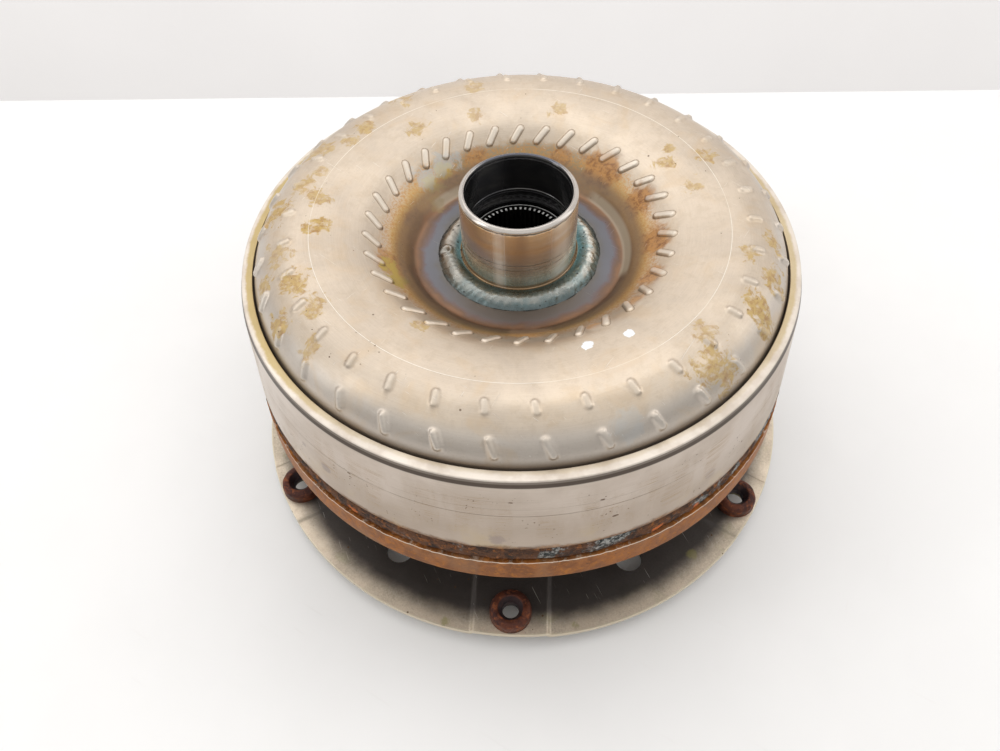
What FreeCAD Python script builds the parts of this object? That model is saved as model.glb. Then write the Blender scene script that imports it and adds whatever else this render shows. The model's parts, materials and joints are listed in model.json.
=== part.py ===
"""Torque converter with a lock-up clutch, a torsional damper and a flexplate.

Millimetres, +Z up along the converter's axis. The converter stands on its crank pilot:
z = 0 is the pilot's tip and the pump hub points up. Plan angle -90 degrees is the front.
"""
import FreeCAD, Part
import math
import os
import re
import Sketcher
from FreeCAD import Placement, Rotation, Vector

doc = FreeCAD.newDocument("torque_converter")

# ---------------------------------------------------------------- driving dimensions
DIMENSIONS = [
    # flexplate and how it hangs on the converter
    ("plate_radius", 151.0), ("plate_wall", 3.0), ("pad_raise", 1.8), ("pad_half_width", 20.0),
    ("pad_length", 39.0), ("nut_inset", 11.5), ("nut_radius", 11.0), ("nut_height", 7.5),
    ("nut_bore", 4.25), ("nut_rounding", 2.5), ("nut_count", 6), ("plate_hole", 5.25),
    ("window_inset", 28.5), ("window_radius", 7.2),
    ("block_circle", 84.0), ("block_radius", 12.0), ("block_height", 7.0), ("bolt_radius", 5.0),
    ("bolt_head_radius", 8.5), ("bolt_head_height", 6.4), ("bolt_grip", 6.0),
    # crank pilot
    ("pilot_radius", 24.0), ("pilot_length", 10.0), ("pilot_bore", 12.0), ("pilot_bevel", 1.5),
    ("pilot_step", 1.0), ("pilot_collar", 8.0), ("pilot_collar_wall", 3.5), ("centre_drill", 3.0),
    # front cover, weld and drum
    ("cover_wall", 4.5), ("dish_depth", 40.5), ("dish_shelf", 34.8), ("dish_flare", 12.0),
    ("rim_stand", 2.0), ("rim_neck_stand", 1.0), ("rim_height", 17.5), ("rim_rounding", 4.0),
    ("weld_height", 10.0), ("weld_inset", 0.8),
    ("drum_height", 53.0), ("drum_wall", 5.0), ("drum_flare", 3.6), ("drum_bevel", 1.2),
    ("drum_step", 4.1), ("drum_tuck", 3.0),
    # impeller shell
    ("shell_radius", 130.0), ("shell_wall", 3.5), ("shell_foot", 6.0), ("crown_rise", 18.0),
    ("rim_arc", 25.0), ("crown_arc", 91.0), ("knee_arc", 26.0), ("crown_angle", 16.0),
    ("slope_angle", 37.0), ("slope_reach", 49.0), ("edge_run", 4.5), ("floor_drop", 24.0),
    ("split_depth", 37.0),
    # pump hub and its weld
    ("hub_radius", 28.0), ("hub_bore", 25.0), ("hub_lower_bore", 24.6), ("hub_height", 39.0),
    ("hub_bore_length", 19.5), ("hub_bevel", 0.9), ("flange_width", 5.0), ("flange_rise", 2.4),
    ("bead_width", 6.5), ("bead_height", 3.9),
    # fluid circuit
    ("core_offset", 8.0), ("core_arc", 14.0), ("core_wall", 1.2), ("core_sweep", 139.0),
    ("tab_offset_inner", -34.1), ("tab_offset_middle", 6.3), ("tab_offset_outer", 20.1),
    ("tab_angle_inner", -2.3), ("tab_angle_middle", 0.35), ("tab_angle_outer", 2.45),
    ("split_gap", 2.0), ("rim_gap", 2.0), ("turbine_wall", 1.8), ("blade_wall", 1.2), ("blade_set", 4.0),
    ("braze_gap", 0.1),
    ("impeller_blade_count", 34), ("turbine_blade_count", 31), ("turbine_blade_sweep", 12.0),
    # stator
    ("stator_hub_wall", 11.0), ("stator_shroud_wall", 2.4), ("stator_gap", 1.2), ("vane_count", 19),
    ("vane_wall", 2.6), ("vane_nose", 5.0), ("vane_belly", 2.2), ("vane_tail", 5.5), ("vane_margin", 0.5),
    # one-way clutch
    ("track_radius", 30.0), ("roller_radius", 2.95), ("roller_count", 12), ("clutch_height", 13.2),
    ("side_plate", 2.0), ("cam_gap", 5.0), ("cam_wall", 11.0), ("ramp_clear", 0.12), ("ramp_rise", 0.9),
    ("ramp_angle", 11.0), ("strip_radius", 1.9), ("strip_wall", 0.35), ("strip_shift", 0.6),
    ("strip_angle", 9.2), ("strip_margin", 2.0),
    ("collar_radius", 23.6), ("collar_rise", 12.5), ("race_spline", 21.8), ("race_spline_tip", 20.3),
    ("race_teeth", 54),
    # thrust bearings
    ("washer_wall", 1.0), ("washer_margin", 1.2), ("needle_radius", 1.1), ("needle_length", 9.0),
    ("cage_recess", 0.5), ("axial_gap", 0.1), ("middle_bearing", 36.5), ("front_bearing", 22.5),
    ("middle_needles", 32), ("front_needles", 20),
    # turbine hub and rivets
    ("shaft_spline", 15.0), ("shaft_spline_tip", 14.0), ("shaft_teeth", 30), ("tube_radius", 24.0),
    ("journal_radius", 27.0), ("journal_step", 3.0), ("hub_flange_wall", 5.5), ("rivet_circle", 48.5),
    ("rivet_radius", 2.5), ("rivet_head", 4.0), ("rivet_head_height", 1.5), ("rivet_count", 12),
    ("lap_margin", 0.9),
    # torsional damper
    ("damper_height", 70.0), ("damper_spacing", 7.0), ("retainer_wall", 2.0), ("driven_wall", 3.0),
    ("damper_radius", 97.5), ("driven_inset", 2.0), ("spring_circle", 82.0), ("spring_radius", 9.0),
    ("spring_wire", 1.8), ("spring_play", 0.2), ("spring_length", 44.0), ("spring_count", 6),
    ("coil_pitch", 3.2), ("inner_spring_radius", 4.9), ("inner_spring_wire", 1.1),
    ("spacer_circle", 63.0), ("spacer_radius", 4.0), ("spacer_margin", 1.0), ("twist_limit", 8.0),
    ("drive_rivet_set", 8.0), ("drive_flange_margin", 6.0), ("drive_flange_wall", 4.5),
    # lock-up piston
    ("piston_clearance", 4.3), ("lining_margin", 1.0), ("lining_width", 17.5), ("lining_wall", 1.5),
    ("lockup_travel", 1.0), ("piston_wall", 4.0), ("piston_floor", 46.0), ("piston_cone", 3.2),
    ("piston_collar_wall", 5.0), ("piston_collar", 12.0), ("lug_circle", 92.5), ("lug_wall", 3.2),
    ("lug_half_width", 6.0), ("seal_size", 1.6),
    # clearances: turning fits, pieces that stay apart, and how far a cutting outline runs past
    ("running_gap", 0.05), ("soft_gap", 0.3), ("overcut", 1.0),
]

sheet = doc.addObject("Spreadsheet::Sheet", "dims")
for row, (alias, value) in enumerate(DIMENSIONS, start=1):
    sheet.set(f"A{row}", alias.replace("_", " "))
    sheet.set(f"B{row}", str(value))
    sheet.setAlias(f"B{row}", alias)
doc.recompute()
ALIASES = {alias for alias, _ in DIMENSIONS}

parts = []


def bound(text):
    """The expression with each dimension's name pointed at the sheet."""
    def pointed(match):
        word = match.group(0)
        return "dims." + word if word in ALIASES else word

    return re.sub(r"[a-z][a-z_]+", pointed, text)


def num(text):
    """The present value of an expression."""
    return float(sheet.evalExpression(str(text)))


# ---------------------------------------------------------------- heights, from the pilot's tip up
PLATE_TOP = "(pilot_length + plate_wall)"
COVER_FACE = f"({PLATE_TOP} + block_height)"
COVER_INSIDE = f"({COVER_FACE} + cover_wall)"
RIM_UNDER = f"({COVER_FACE} + dish_depth)"
LOCKUP_FACE = f"({RIM_UNDER} + cover_wall)"
COVER_EDGE = f"({RIM_UNDER} + rim_height)"
DRUM_FOOT = f"({COVER_EDGE} + weld_height)"
DRUM_TOP = f"({DRUM_FOOT} + drum_height)"
CROWN = f"({DRUM_TOP} + crown_rise)"
FLOOR = f"({CROWN} - floor_drop)"
HUB_TOP = f"({FLOOR} + hub_height)"
SPLIT = f"({CROWN} - split_depth)"
TURBINE_TOP = f"({SPLIT} - split_gap)"
MIRROR = f"({SPLIT} - split_gap / 2)"
SHELL_FOOT = f"({SPLIT} + shell_foot)"

BEARING = "(2 * washer_wall + 2 * needle_radius + 2 * axial_gap)"
REAR_SEAT = f"({FLOOR} - shell_wall)"
REAR_PLATE_TOP = f"({REAR_SEAT} - {BEARING})"
CLUTCH_TOP = f"({REAR_PLATE_TOP} - side_plate)"
CLUTCH_FOOT = f"({CLUTCH_TOP} - clutch_height)"
FRONT_PLATE_FOOT = f"({CLUTCH_FOOT} - side_plate)"
TURBINE_SEAT = f"({FRONT_PLATE_FOOT} - {BEARING})"
PILOT_SEAT = f"({COVER_INSIDE} + pilot_collar_wall)"
HUB_FOOT = f"({PILOT_SEAT} + {BEARING})"
LINING_FOOT = f"({LOCKUP_FACE} + lockup_travel)"
PISTON_FOOT = f"({LINING_FOOT} + lining_wall)"
STATOR_TOP = f"({CLUTCH_TOP} + side_plate)"
STATOR_FOOT = f"({CLUTCH_FOOT} + stator_gap)"

# ---------------------------------------------------------------- radii that several pieces share
PILOT_SEAT_RADIUS = "(pilot_radius + pilot_step)"
NUT_CIRCLE = "(plate_radius - nut_inset)"
DRUM_SHOULDER = "(shell_radius + drum_wall)"
DRUM_NECK = f"({DRUM_SHOULDER} + drum_bevel)"
DRUM_FLARE = f"({DRUM_NECK} + drum_flare)"
WELD_EDGE = f"({DRUM_FLARE} - weld_inset)"
COVER_BORE = f"({DRUM_FLARE} - drum_wall)"
RIM_RADIUS = f"({DRUM_FLARE} + rim_stand)"
DISH_RADIUS = f"({COVER_BORE} - dish_shelf)"
WALL_SHIFT = "(cover_wall * sqrt(dish_depth ^ 2 + dish_flare ^ 2) / dish_depth)"
CROWN_RADIUS = "(shell_radius - rim_arc)"
EDGE_RADIUS = f"({CROWN_RADIUS} - slope_reach)"
BLADE_INNER = f"({EDGE_RADIUS} + blade_set)"
CORE_RADIUS = f"({CROWN_RADIUS} - core_offset)"
FLANGE_RADIUS = "(hub_radius + flange_width)"
CAM_BORE = "(track_radius + cam_gap)"
CAM_RADIUS = f"({CAM_BORE} + cam_wall)"
DRIVEN_BORE = "(journal_radius + journal_step)"
DRIVE_RIVETS = f"({DRIVEN_BORE} + drive_rivet_set)"
PISTON_RADIUS = f"({COVER_BORE} - piston_clearance)"
LINING_OUTER = f"({PISTON_RADIUS} - lining_margin)"
BETWEEN_NUTS = "(180 / nut_count)"
BETWEEN_SPRINGS = "(180 / spring_count)"


# ---------------------------------------------------------------- modelling helpers
def arc_centre(start, end, radius, way):
    """Centre of the short arc from start to end, turning 'ccw' or 'cw' in its own plane."""
    chord = end - start
    middle = (start + end) * 0.5
    left = Vector(-chord.y, chord.x, 0).normalize()
    reach = math.sqrt(max(radius ** 2 - (chord.Length / 2) ** 2, 0.0))
    return middle + left * (reach if way == "ccw" else -reach)


def plan_point(radius, degrees):
    """Point of the plan view at a radius and an angle."""
    angle = math.radians(degrees)
    return Vector(radius * math.cos(angle), radius * math.sin(angle), 0)


def oblong(inner, outer, half_width):
    """Rectangle across the +X direction, from an inner to an outer distance."""
    return [(inner, f"-{half_width}"), (outer, f"-{half_width}"), (outer, half_width), (inner, half_width)]


def hold_corner(sketch, edge, end, axis, text, name):
    """Tie one coordinate of an edge's end to an expression."""
    if text == "0":
        sketch.addConstraint(Sketcher.Constraint("PointOnObject", edge, end, -2 if axis == "X" else -1))
        return
    place = sketch.addConstraint(Sketcher.Constraint("Distance" + axis, -1, 1, edge, end, num(text)))
    sketch.renameConstraint(place, name)
    sketch.setExpression(".Constraints." + name, bound(text))


def draw_outline(sketch, corners):
    """Closed outline. A corner is (x, y), or (x, y, radius, way) when an arc leaves it."""
    points = [Vector(num(corner[0]), num(corner[1]), 0) for corner in corners]
    ends = []
    for index, corner in enumerate(corners):
        start, end = points[index], points[(index + 1) % len(points)]
        if len(corner) == 2:
            sketch.addGeometry(Part.LineSegment(start, end), False)
            ends.append((1, 2))
            continue
        centre = arc_centre(start, end, num(corner[2]), corner[3])
        circle = Part.Circle(centre, Vector(0, 0, 1), num(corner[2]))
        angles = [math.atan2(p.y - centre.y, p.x - centre.x) for p in (start, end)]
        if corner[3] == "cw":
            angles.reverse()
        sketch.addGeometry(Part.ArcOfCircle(circle, angles[0], angles[1]), False)
        ends.append((1, 2) if corner[3] == "ccw" else (2, 1))
    for index, corner in enumerate(corners):
        following = (index + 1) % len(corners)
        joint = Sketcher.Constraint("Coincident", index, ends[index][1], following, ends[following][0])
        sketch.addConstraint(joint)
        hold_corner(sketch, index, ends[index][0], "X", corner[0], f"corner{index}_across")
        hold_corner(sketch, index, ends[index][0], "Y", corner[1], f"corner{index}_up")
        if len(corner) > 2:
            size = sketch.addConstraint(Sketcher.Constraint("Radius", index, num(corner[2])))
            sketch.renameConstraint(size, f"arc{index}")
            sketch.setExpression(f".Constraints.arc{index}", bound(corner[2]))


def new_sketch(body, name, plane, height="0", turn="0"):
    """Sketch on one of the body's own origin planes, lifted and turned by expressions."""
    sketch = body.newObject("Sketcher::SketchObject", name)
    sketch.AttachmentSupport = [(next(o for o in body.Origin.OriginFeatures if o.Role == plane), "")]
    sketch.MapMode = "FlatFace"
    if height != "0":
        sketch.setExpression("AttachmentOffset.Base.z", bound(height))
    if turn != "0":
        sketch.AttachmentOffset = Placement(Vector(0, 0, num(height)), Rotation(Vector(0, 0, 1), num(turn)))
        sketch.setExpression("AttachmentOffset.Rotation.Angle", bound(turn))
    return sketch


def new_body(name):
    """PartDesign body whose label names its node."""
    body = doc.addObject("PartDesign::Body", name)
    body.Label = name
    parts.append(body)
    return body


def turned(name, corners):
    """Body made by revolving a closed (radius, height) outline about the axis."""
    body = new_body(name)
    sketch = new_sketch(body, name + "_outline", "XZ_Plane")
    draw_outline(sketch, corners)
    turn = body.newObject("PartDesign::Revolution", name + "_turned")
    turn.Profile = sketch
    turn.ReferenceAxis = (sketch, ["V_Axis"])
    turn.Angle = 360.0
    return body


def ring(name, inner, outer, foot, top):
    """Plain flat ring."""
    return turned(name, [(inner, foot), (outer, foot), (outer, top), (inner, top)])


def repeat(body, single, sketch, count):
    """Polar pattern of one feature about the sketch's normal."""
    pattern = body.newObject("PartDesign::PolarPattern", single.Name + "_around")
    pattern.Originals = [single]
    pattern.Axis = (sketch, ["N_Axis"])
    pattern.Angle = 360.0
    pattern.setExpression("Occurrences", bound(count))
    body.Tip = pattern


def raised(body, name, corners, foot, depth, count, turn="0", cut=False):
    """Pad or pocket of an outline from a height upwards, repeated around the axis."""
    sketch = new_sketch(body, name + "_outline", "XY_Plane", foot, turn)
    draw_outline(sketch, corners)
    extrude(body, name, sketch, depth, count, cut)


def holes(body, name, circle, radius, foot, depth, count, turn="0"):
    """Round holes on a circle, cut upwards from a height."""
    sketch = new_sketch(body, name + "_outline", "XY_Plane", foot, turn)
    sketch.addGeometry(Part.Circle(Vector(num(circle), 0, 0), Vector(0, 0, 1), num(radius)), False)
    sketch.addConstraint(Sketcher.Constraint("PointOnObject", 0, 3, -1))
    place = sketch.addConstraint(Sketcher.Constraint("DistanceX", -1, 1, 0, 3, num(circle)))
    size = sketch.addConstraint(Sketcher.Constraint("Radius", 0, num(radius)))
    sketch.renameConstraint(place, "circle")
    sketch.renameConstraint(size, "radius")
    sketch.setExpression(".Constraints.circle", bound(circle))
    sketch.setExpression(".Constraints.radius", bound(radius))
    extrude(body, name, sketch, depth, count, True)


def extrude(body, name, sketch, depth, count, cut):
    """Pad upwards, or pocket upwards when cut, and repeat it; a cut has to remove material."""
    single = body.newObject("PartDesign::Pocket" if cut else "PartDesign::Pad", name)
    single.Profile = sketch
    single.Reversed = cut
    single.setExpression("Length", bound(depth))
    doc.recompute()
    grown = single.Shape.Volume - single.BaseFeature.Shape.Volume
    if (grown >= 0) == cut:
        raise ValueError(f"{name} changed the volume by {grown:.1f}")
    repeat(body, single, sketch, count)


def numeric_outline(corners):
    """Face in the XZ plane from a (radius, height) outline, as for draw_outline."""
    points = [Vector(num(corner[0]), num(corner[1]), 0) for corner in corners]
    edges = []
    for index, corner in enumerate(corners):
        start, end = points[index], points[(index + 1) % len(points)]
        if len(corner) == 2:
            edges.append(Part.LineSegment(start, end).toShape())
            continue
        centre = arc_centre(start, end, num(corner[2]), corner[3])
        radius = num(corner[2])
        middle = centre + ((start + end) * 0.5 - centre).normalize() * radius
        edges.append(Part.Arc(start, middle, end).toShape())
    face = Part.Face(Part.Wire(edges))
    face.rotate(Vector(), Vector(1, 0, 0), 90)
    return face


def revolved(corners):
    """Solid of revolution from an outline."""
    return numeric_outline(corners).revolve(Vector(), Vector(0, 0, 1), 360)


def feature(name, shape):
    """Node whose shape is computed with Part's functions."""
    node = doc.addObject("Part::Feature", name)
    node.Label = name
    node.Shape = shape
    node.Placement = Placement()
    parts.append(node)


def around(solid, count, phase=0.0):
    """Copies of a solid spaced evenly about the axis."""
    copies = []
    for index in range(int(count)):
        copy = solid.copy()
        copy.rotate(Vector(), Vector(0, 0, 1), phase + 360.0 * index / count)
        copies.append(copy)
    return Part.makeCompound(copies)


def post(radius, foot, top, circle):
    """Upright round bar at a distance from the axis."""
    return Part.makeCylinder(num(radius), num(top) - num(foot), Vector(num(circle), 0, num(foot)))


def torus_wall(up, foot, crown, outer_arc, crown_arc, knee_arc, wall):
    """Named corners (dry side, wet side) of a pressed torus wall, from its rim inwards.

    up is "+" for the impeller, whose crown is on top, and "-" for the turbine.
    """
    down = "-" if up == "+" else "+"

    def side(wet):
        off = wall if wet else "0"
        edge = f"({CROWN_RADIUS} + {outer_arc} - {off})"
        top = f"({crown} {down} {off})"
        bend = f"({crown} {down} {outer_arc})"
        first_r = f"({CROWN_RADIUS} - ({crown_arc} - {off}) * sin(crown_angle))"
        first_z = f"({crown} {down} {crown_arc} {up} ({crown_arc} - {off}) * cos(crown_angle))"
        knee_r = f"({CROWN_RADIUS} - ({crown_arc} - {knee_arc}) * sin(crown_angle))"
        knee_z = f"({crown} {down} {crown_arc} {up} ({crown_arc} - {knee_arc}) * cos(crown_angle))"
        second_r = f"({knee_r} - ({knee_arc} - {off}) * sin(slope_angle))"
        second_z = f"({knee_z} {up} ({knee_arc} - {off}) * cos(slope_angle))"
        return {
            "rim": (edge, foot), "bend": (edge, bend), "crown": (CROWN_RADIUS, top),
            "first": (first_r, first_z), "second": (second_r, second_z),
            "radii": [f"({outer_arc} - {off})", f"({crown_arc} - {off})", f"({knee_arc} - {off})"],
            "slope_at_radius": lambda r: f"({second_z} {down} ({second_r} - {r}) * tan(slope_angle))",
            "slope_at_height": lambda z: f"({second_r} - abs({second_z} - {z}) / tan(slope_angle))",
        }
    return side(False), side(True)


def inwards(side, way):
    """Corners from the rim to the slope's start; way is the arcs' sense in that direction."""
    names = ["bend", "crown", "first"]
    return [side["rim"]] + [side[n] + (r, way) for n, r in zip(names, side["radii"])] + [side["second"]]


def outwards(side, way):
    """The same corners from the slope's start back to the rim."""
    names = ["second", "first", "crown"]
    arcs = [side[n] + (r, way) for n, r in zip(names, reversed(side["radii"]))]
    return arcs + [side["bend"], side["rim"]]


# ---------------------------------------------------------------- flexplate and its fasteners
pad_inner = "(plate_radius - pad_length)"
pad_end = "(sqrt(plate_radius ^ 2 - pad_half_width ^ 2))"
pad_outline = [
    (pad_inner, "-pad_half_width"), (pad_end, "-pad_half_width", "plate_radius", "ccw"),
    (pad_end, "pad_half_width"), (pad_inner, "pad_half_width"),
]
flexplate = ring("flexplate", f"({PILOT_SEAT_RADIUS} + running_gap)", "plate_radius", "pilot_length", PLATE_TOP)
raised(flexplate, "pads", pad_outline, PLATE_TOP, "pad_raise", "nut_count", BETWEEN_NUTS)
raised(flexplate, "pad_backs", pad_outline, "pilot_length", "pad_raise", "nut_count", BETWEEN_NUTS, cut=True)
holes(flexplate, "nut_holes", NUT_CIRCLE, "plate_hole", "pilot_length", "2 * plate_wall + pad_raise",
      "nut_count", BETWEEN_NUTS)
holes(flexplate, "windows", "(plate_radius - window_inset)", "window_radius", "pilot_length",
      "2 * plate_wall", "nut_count")
holes(flexplate, "bolt_holes", "block_circle", "bolt_radius", "pilot_length", "2 * plate_wall", "nut_count")

NUT_FOOT = f"({PLATE_TOP} + pad_raise)"
nut = revolved([
    ("nut_bore", NUT_FOOT), ("nut_radius", NUT_FOOT),
    ("nut_radius", f"({NUT_FOOT} + nut_height - nut_rounding)", "nut_rounding", "ccw"),
    ("(nut_radius - nut_rounding)", f"({NUT_FOOT} + nut_height)"),
    ("plate_hole", f"({NUT_FOOT} + nut_height)"),
    ("nut_bore", f"({NUT_FOOT} + nut_height - plate_hole + nut_bore)"),
])
nut.translate(Vector(num(NUT_CIRCLE), 0, 0))
feature("flexplate_nuts", around(nut, num("nut_count"), num(BETWEEN_NUTS)))

bolt_hole = post("bolt_radius", PLATE_TOP, f"({PLATE_TOP} + bolt_grip)", "block_circle")
block = post("block_radius", PLATE_TOP, COVER_FACE, "block_circle").cut(bolt_hole)
feature("mounting_blocks", around(block, num("nut_count")))

hexagon = Part.makePolygon([plan_point(num("bolt_head_radius"), 60 * corner) for corner in range(7)])
bolt = Part.Face(hexagon).extrude(Vector(0, 0, num("bolt_head_height")))
bolt.translate(Vector(num("block_circle"), 0, num("pilot_length - bolt_head_height")))
shank = post("bolt_radius", "pilot_length", f"({PLATE_TOP} + bolt_grip - soft_gap)", "block_circle")
feature("flexplate_bolts", around(bolt.fuse(shank).removeSplitter(), num("nut_count")))

# ---------------------------------------------------------------- crank pilot and front cover
turned("crank_pilot", [
    ("(pilot_radius - pilot_bevel)", "0"), ("pilot_radius", "pilot_bevel"), ("pilot_radius", "pilot_length"),
    (PILOT_SEAT_RADIUS, "pilot_length"), (PILOT_SEAT_RADIUS, COVER_INSIDE),
    ("(pilot_radius + pilot_collar)", COVER_INSIDE), ("(pilot_radius + pilot_collar)", PILOT_SEAT),
    ("pilot_bore", PILOT_SEAT), ("pilot_bore", "pilot_length"), ("0", "pilot_length"),
    ("0", "centre_drill"), ("centre_drill", "0"),
])


def cone_radius(height, shift="0"):
    """Radius of the cover's conical wall at a height, moved inwards by shift."""
    return f"({DISH_RADIUS} - {shift} + ({height} - {COVER_FACE}) * dish_flare / dish_depth)"


turned("front_cover", [
    (PILOT_SEAT_RADIUS, COVER_FACE), (cone_radius(COVER_FACE), COVER_FACE), (cone_radius(RIM_UNDER), RIM_UNDER),
    (f"({RIM_RADIUS} - rim_rounding)", RIM_UNDER, "rim_rounding", "ccw"),
    (RIM_RADIUS, f"({RIM_UNDER} + rim_rounding)"), (f"({DRUM_FLARE} + rim_neck_stand)", COVER_EDGE),
    (COVER_BORE, COVER_EDGE),
    (COVER_BORE, LOCKUP_FACE), (cone_radius(LOCKUP_FACE, WALL_SHIFT), LOCKUP_FACE),
    (cone_radius(COVER_INSIDE, WALL_SHIFT), COVER_INSIDE), (PILOT_SEAT_RADIUS, COVER_INSIDE),
])

# ---------------------------------------------------------------- weld band and drum
turned("cover_weld", [
    (COVER_BORE, COVER_EDGE), (WELD_EDGE, COVER_EDGE, "weld_height", "ccw"),
    (WELD_EDGE, DRUM_FOOT), (COVER_BORE, DRUM_FOOT),
])
turned("drum_ring", [
    (COVER_BORE, DRUM_FOOT), (WELD_EDGE, DRUM_FOOT), (DRUM_FLARE, f"({DRUM_FOOT} + drum_tuck)"),
    (DRUM_NECK, f"({DRUM_TOP} - drum_step)"), (DRUM_SHOULDER, DRUM_TOP),
    ("shell_radius", DRUM_TOP), ("shell_radius", SHELL_FOOT),
])

# ---------------------------------------------------------------- impeller shell, hub and hub weld
dry, wet = torus_wall("+", SHELL_FOOT, CROWN, "rim_arc", "crown_arc", "knee_arc", "shell_wall")
turned("impeller_shell", inwards(dry, "ccw") + [
    (EDGE_RADIUS, dry["slope_at_radius"](EDGE_RADIUS)), (f"({EDGE_RADIUS} - edge_run)", FLOOR),
    (FLANGE_RADIUS, FLOOR), (FLANGE_RADIUS, REAR_SEAT),
    (wet["slope_at_height"](REAR_SEAT), REAR_SEAT),
] + outwards(wet, "cw"))

HUB_BORE_FOOT = f"({HUB_TOP} - hub_bevel - hub_bore_length)"
turned("pump_hub", [
    ("hub_lower_bore", REAR_SEAT), (FLANGE_RADIUS, REAR_SEAT), (FLANGE_RADIUS, f"({FLOOR} + flange_rise)"),
    ("hub_radius", f"({FLOOR} + flange_rise)"), ("hub_radius", f"({HUB_TOP} - hub_bevel)"),
    ("(hub_radius - hub_bevel)", HUB_TOP), ("(hub_bore + hub_bevel)", HUB_TOP),
    ("hub_bore", f"({HUB_TOP} - hub_bevel)"), ("hub_bore", HUB_BORE_FOOT), ("hub_lower_bore", HUB_BORE_FOOT),
])
BEAD_RADIUS = "(bead_width ^ 2 / 8 / bead_height + bead_height)"
turned("hub_weld", [
    (FLANGE_RADIUS, FLOOR), (f"({FLANGE_RADIUS} + bead_width)", FLOOR, BEAD_RADIUS, "ccw"),
    (FLANGE_RADIUS, f"({FLOOR} + bead_height)"),
])


# ---------------------------------------------------------------- impeller core and blades
def core_corners(up, face):
    """Half-round core ring outline, open towards the split and cut short at the stator."""
    def end(size):
        across = f"({CORE_RADIUS} - {size} * cos(180 - core_sweep))"
        return across, f"({face} {up} {size} * sin(180 - core_sweep))"

    def top(size):
        return CORE_RADIUS, f"({face} {up} {size})"

    outer, inner = "core_arc", "(core_arc - core_wall)"
    out_way, back_way = ("ccw", "cw") if up == "+" else ("cw", "ccw")
    return [
        (f"({CORE_RADIUS} + {outer})", face, outer, out_way), top(outer) + (outer, out_way), end(outer),
        end(inner) + (inner, back_way), top(inner) + (inner, back_way), (f"({CORE_RADIUS} + {inner})", face),
    ]


def curved_blade(points):
    """Tall thin sheet whose middle line is the plan arc through three points."""
    circle = Part.Arc(*points).toShape().Curve
    half = num("blade_wall") / 2
    height = num(HUB_TOP)
    outside = Part.makeCylinder(circle.Radius + half, height, circle.Center)
    band = outside.cut(Part.makeCylinder(circle.Radius - half, height, circle.Center))
    width = num("core_arc") * 4
    return band.common(Part.makeBox(num("shell_radius"), width, height, Vector(0, -width / 2, 0)))


def chamber(way, side, core, face, eye):
    """Solid of the flow passage between a torus wall and its core ring."""
    start = (BLADE_INNER, side["slope_at_radius"](BLADE_INNER))
    back = "ccw" if way == "cw" else "cw"
    return revolved([start] + outwards(side, way) + [
        (core[0][0], face, "core_arc", back), core[1], core[2], (core[2][0], eye), (BLADE_INNER, eye)])


turned("impeller_core", core_corners("+", SPLIT))
brazed = torus_wall("+", SPLIT, CROWN, "rim_arc", "crown_arc", "knee_arc", "(shell_wall + braze_gap)")[1]
passage = chamber("cw", brazed, core_corners("+", SPLIT), SPLIT, f"({STATOR_TOP} + stator_gap)")
tabs = [plan_point(num(f"{CROWN_RADIUS} + tab_offset_{row}"), num(f"tab_angle_{row}"))
        for row in ("inner", "middle", "outer")]
blade = passage.common(curved_blade(tabs))
feature("impeller_blades", around(blade, num("impeller_blade_count")))

# ---------------------------------------------------------------- turbine shell, core, blades and hub
TURBINE_ARC = "(rim_arc - shell_wall - rim_gap)"
TURBINE_CROWN_ARC = "(crown_arc - shell_wall + turbine_wall)"
TURBINE_KNEE_ARC = "(knee_arc - shell_wall + turbine_wall)"
TURBINE_CROWN = f"(2 * {MIRROR} - {CROWN} + shell_wall - turbine_wall)"
TURBINE_LAP = f"({TURBINE_SEAT} + turbine_wall)"
TURBINE_LAP_BORE = "(rivet_circle - rivet_head - lap_margin)"
turbine_torus = ("-", TURBINE_TOP, TURBINE_CROWN, TURBINE_ARC, TURBINE_CROWN_ARC, TURBINE_KNEE_ARC)
dry, wet = torus_wall(*turbine_torus, "turbine_wall")
turbine_shell = turned("turbine_shell", inwards(dry, "cw") + [
    (dry["slope_at_height"](TURBINE_SEAT), TURBINE_SEAT), (TURBINE_LAP_BORE, TURBINE_SEAT),
    (TURBINE_LAP_BORE, TURBINE_LAP), (wet["slope_at_height"](TURBINE_LAP), TURBINE_LAP),
] + outwards(wet, "ccw"))
turned("turbine_core", core_corners("-", TURBINE_TOP))
brazed = torus_wall(*turbine_torus, "(turbine_wall + braze_gap)")[1]
passage = chamber("ccw", brazed, core_corners("-", TURBINE_TOP), TURBINE_TOP, f"({STATOR_FOOT} - stator_gap)")
sweep = num("turbine_blade_sweep")
blade = passage.common(curved_blade([
    plan_point(num(BLADE_INNER), -sweep), plan_point(num(CORE_RADIUS), 0),
    plan_point(num("shell_radius"), -sweep / 2)]))
feature("turbine_blades", around(blade, num("turbine_blade_count")))

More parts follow.
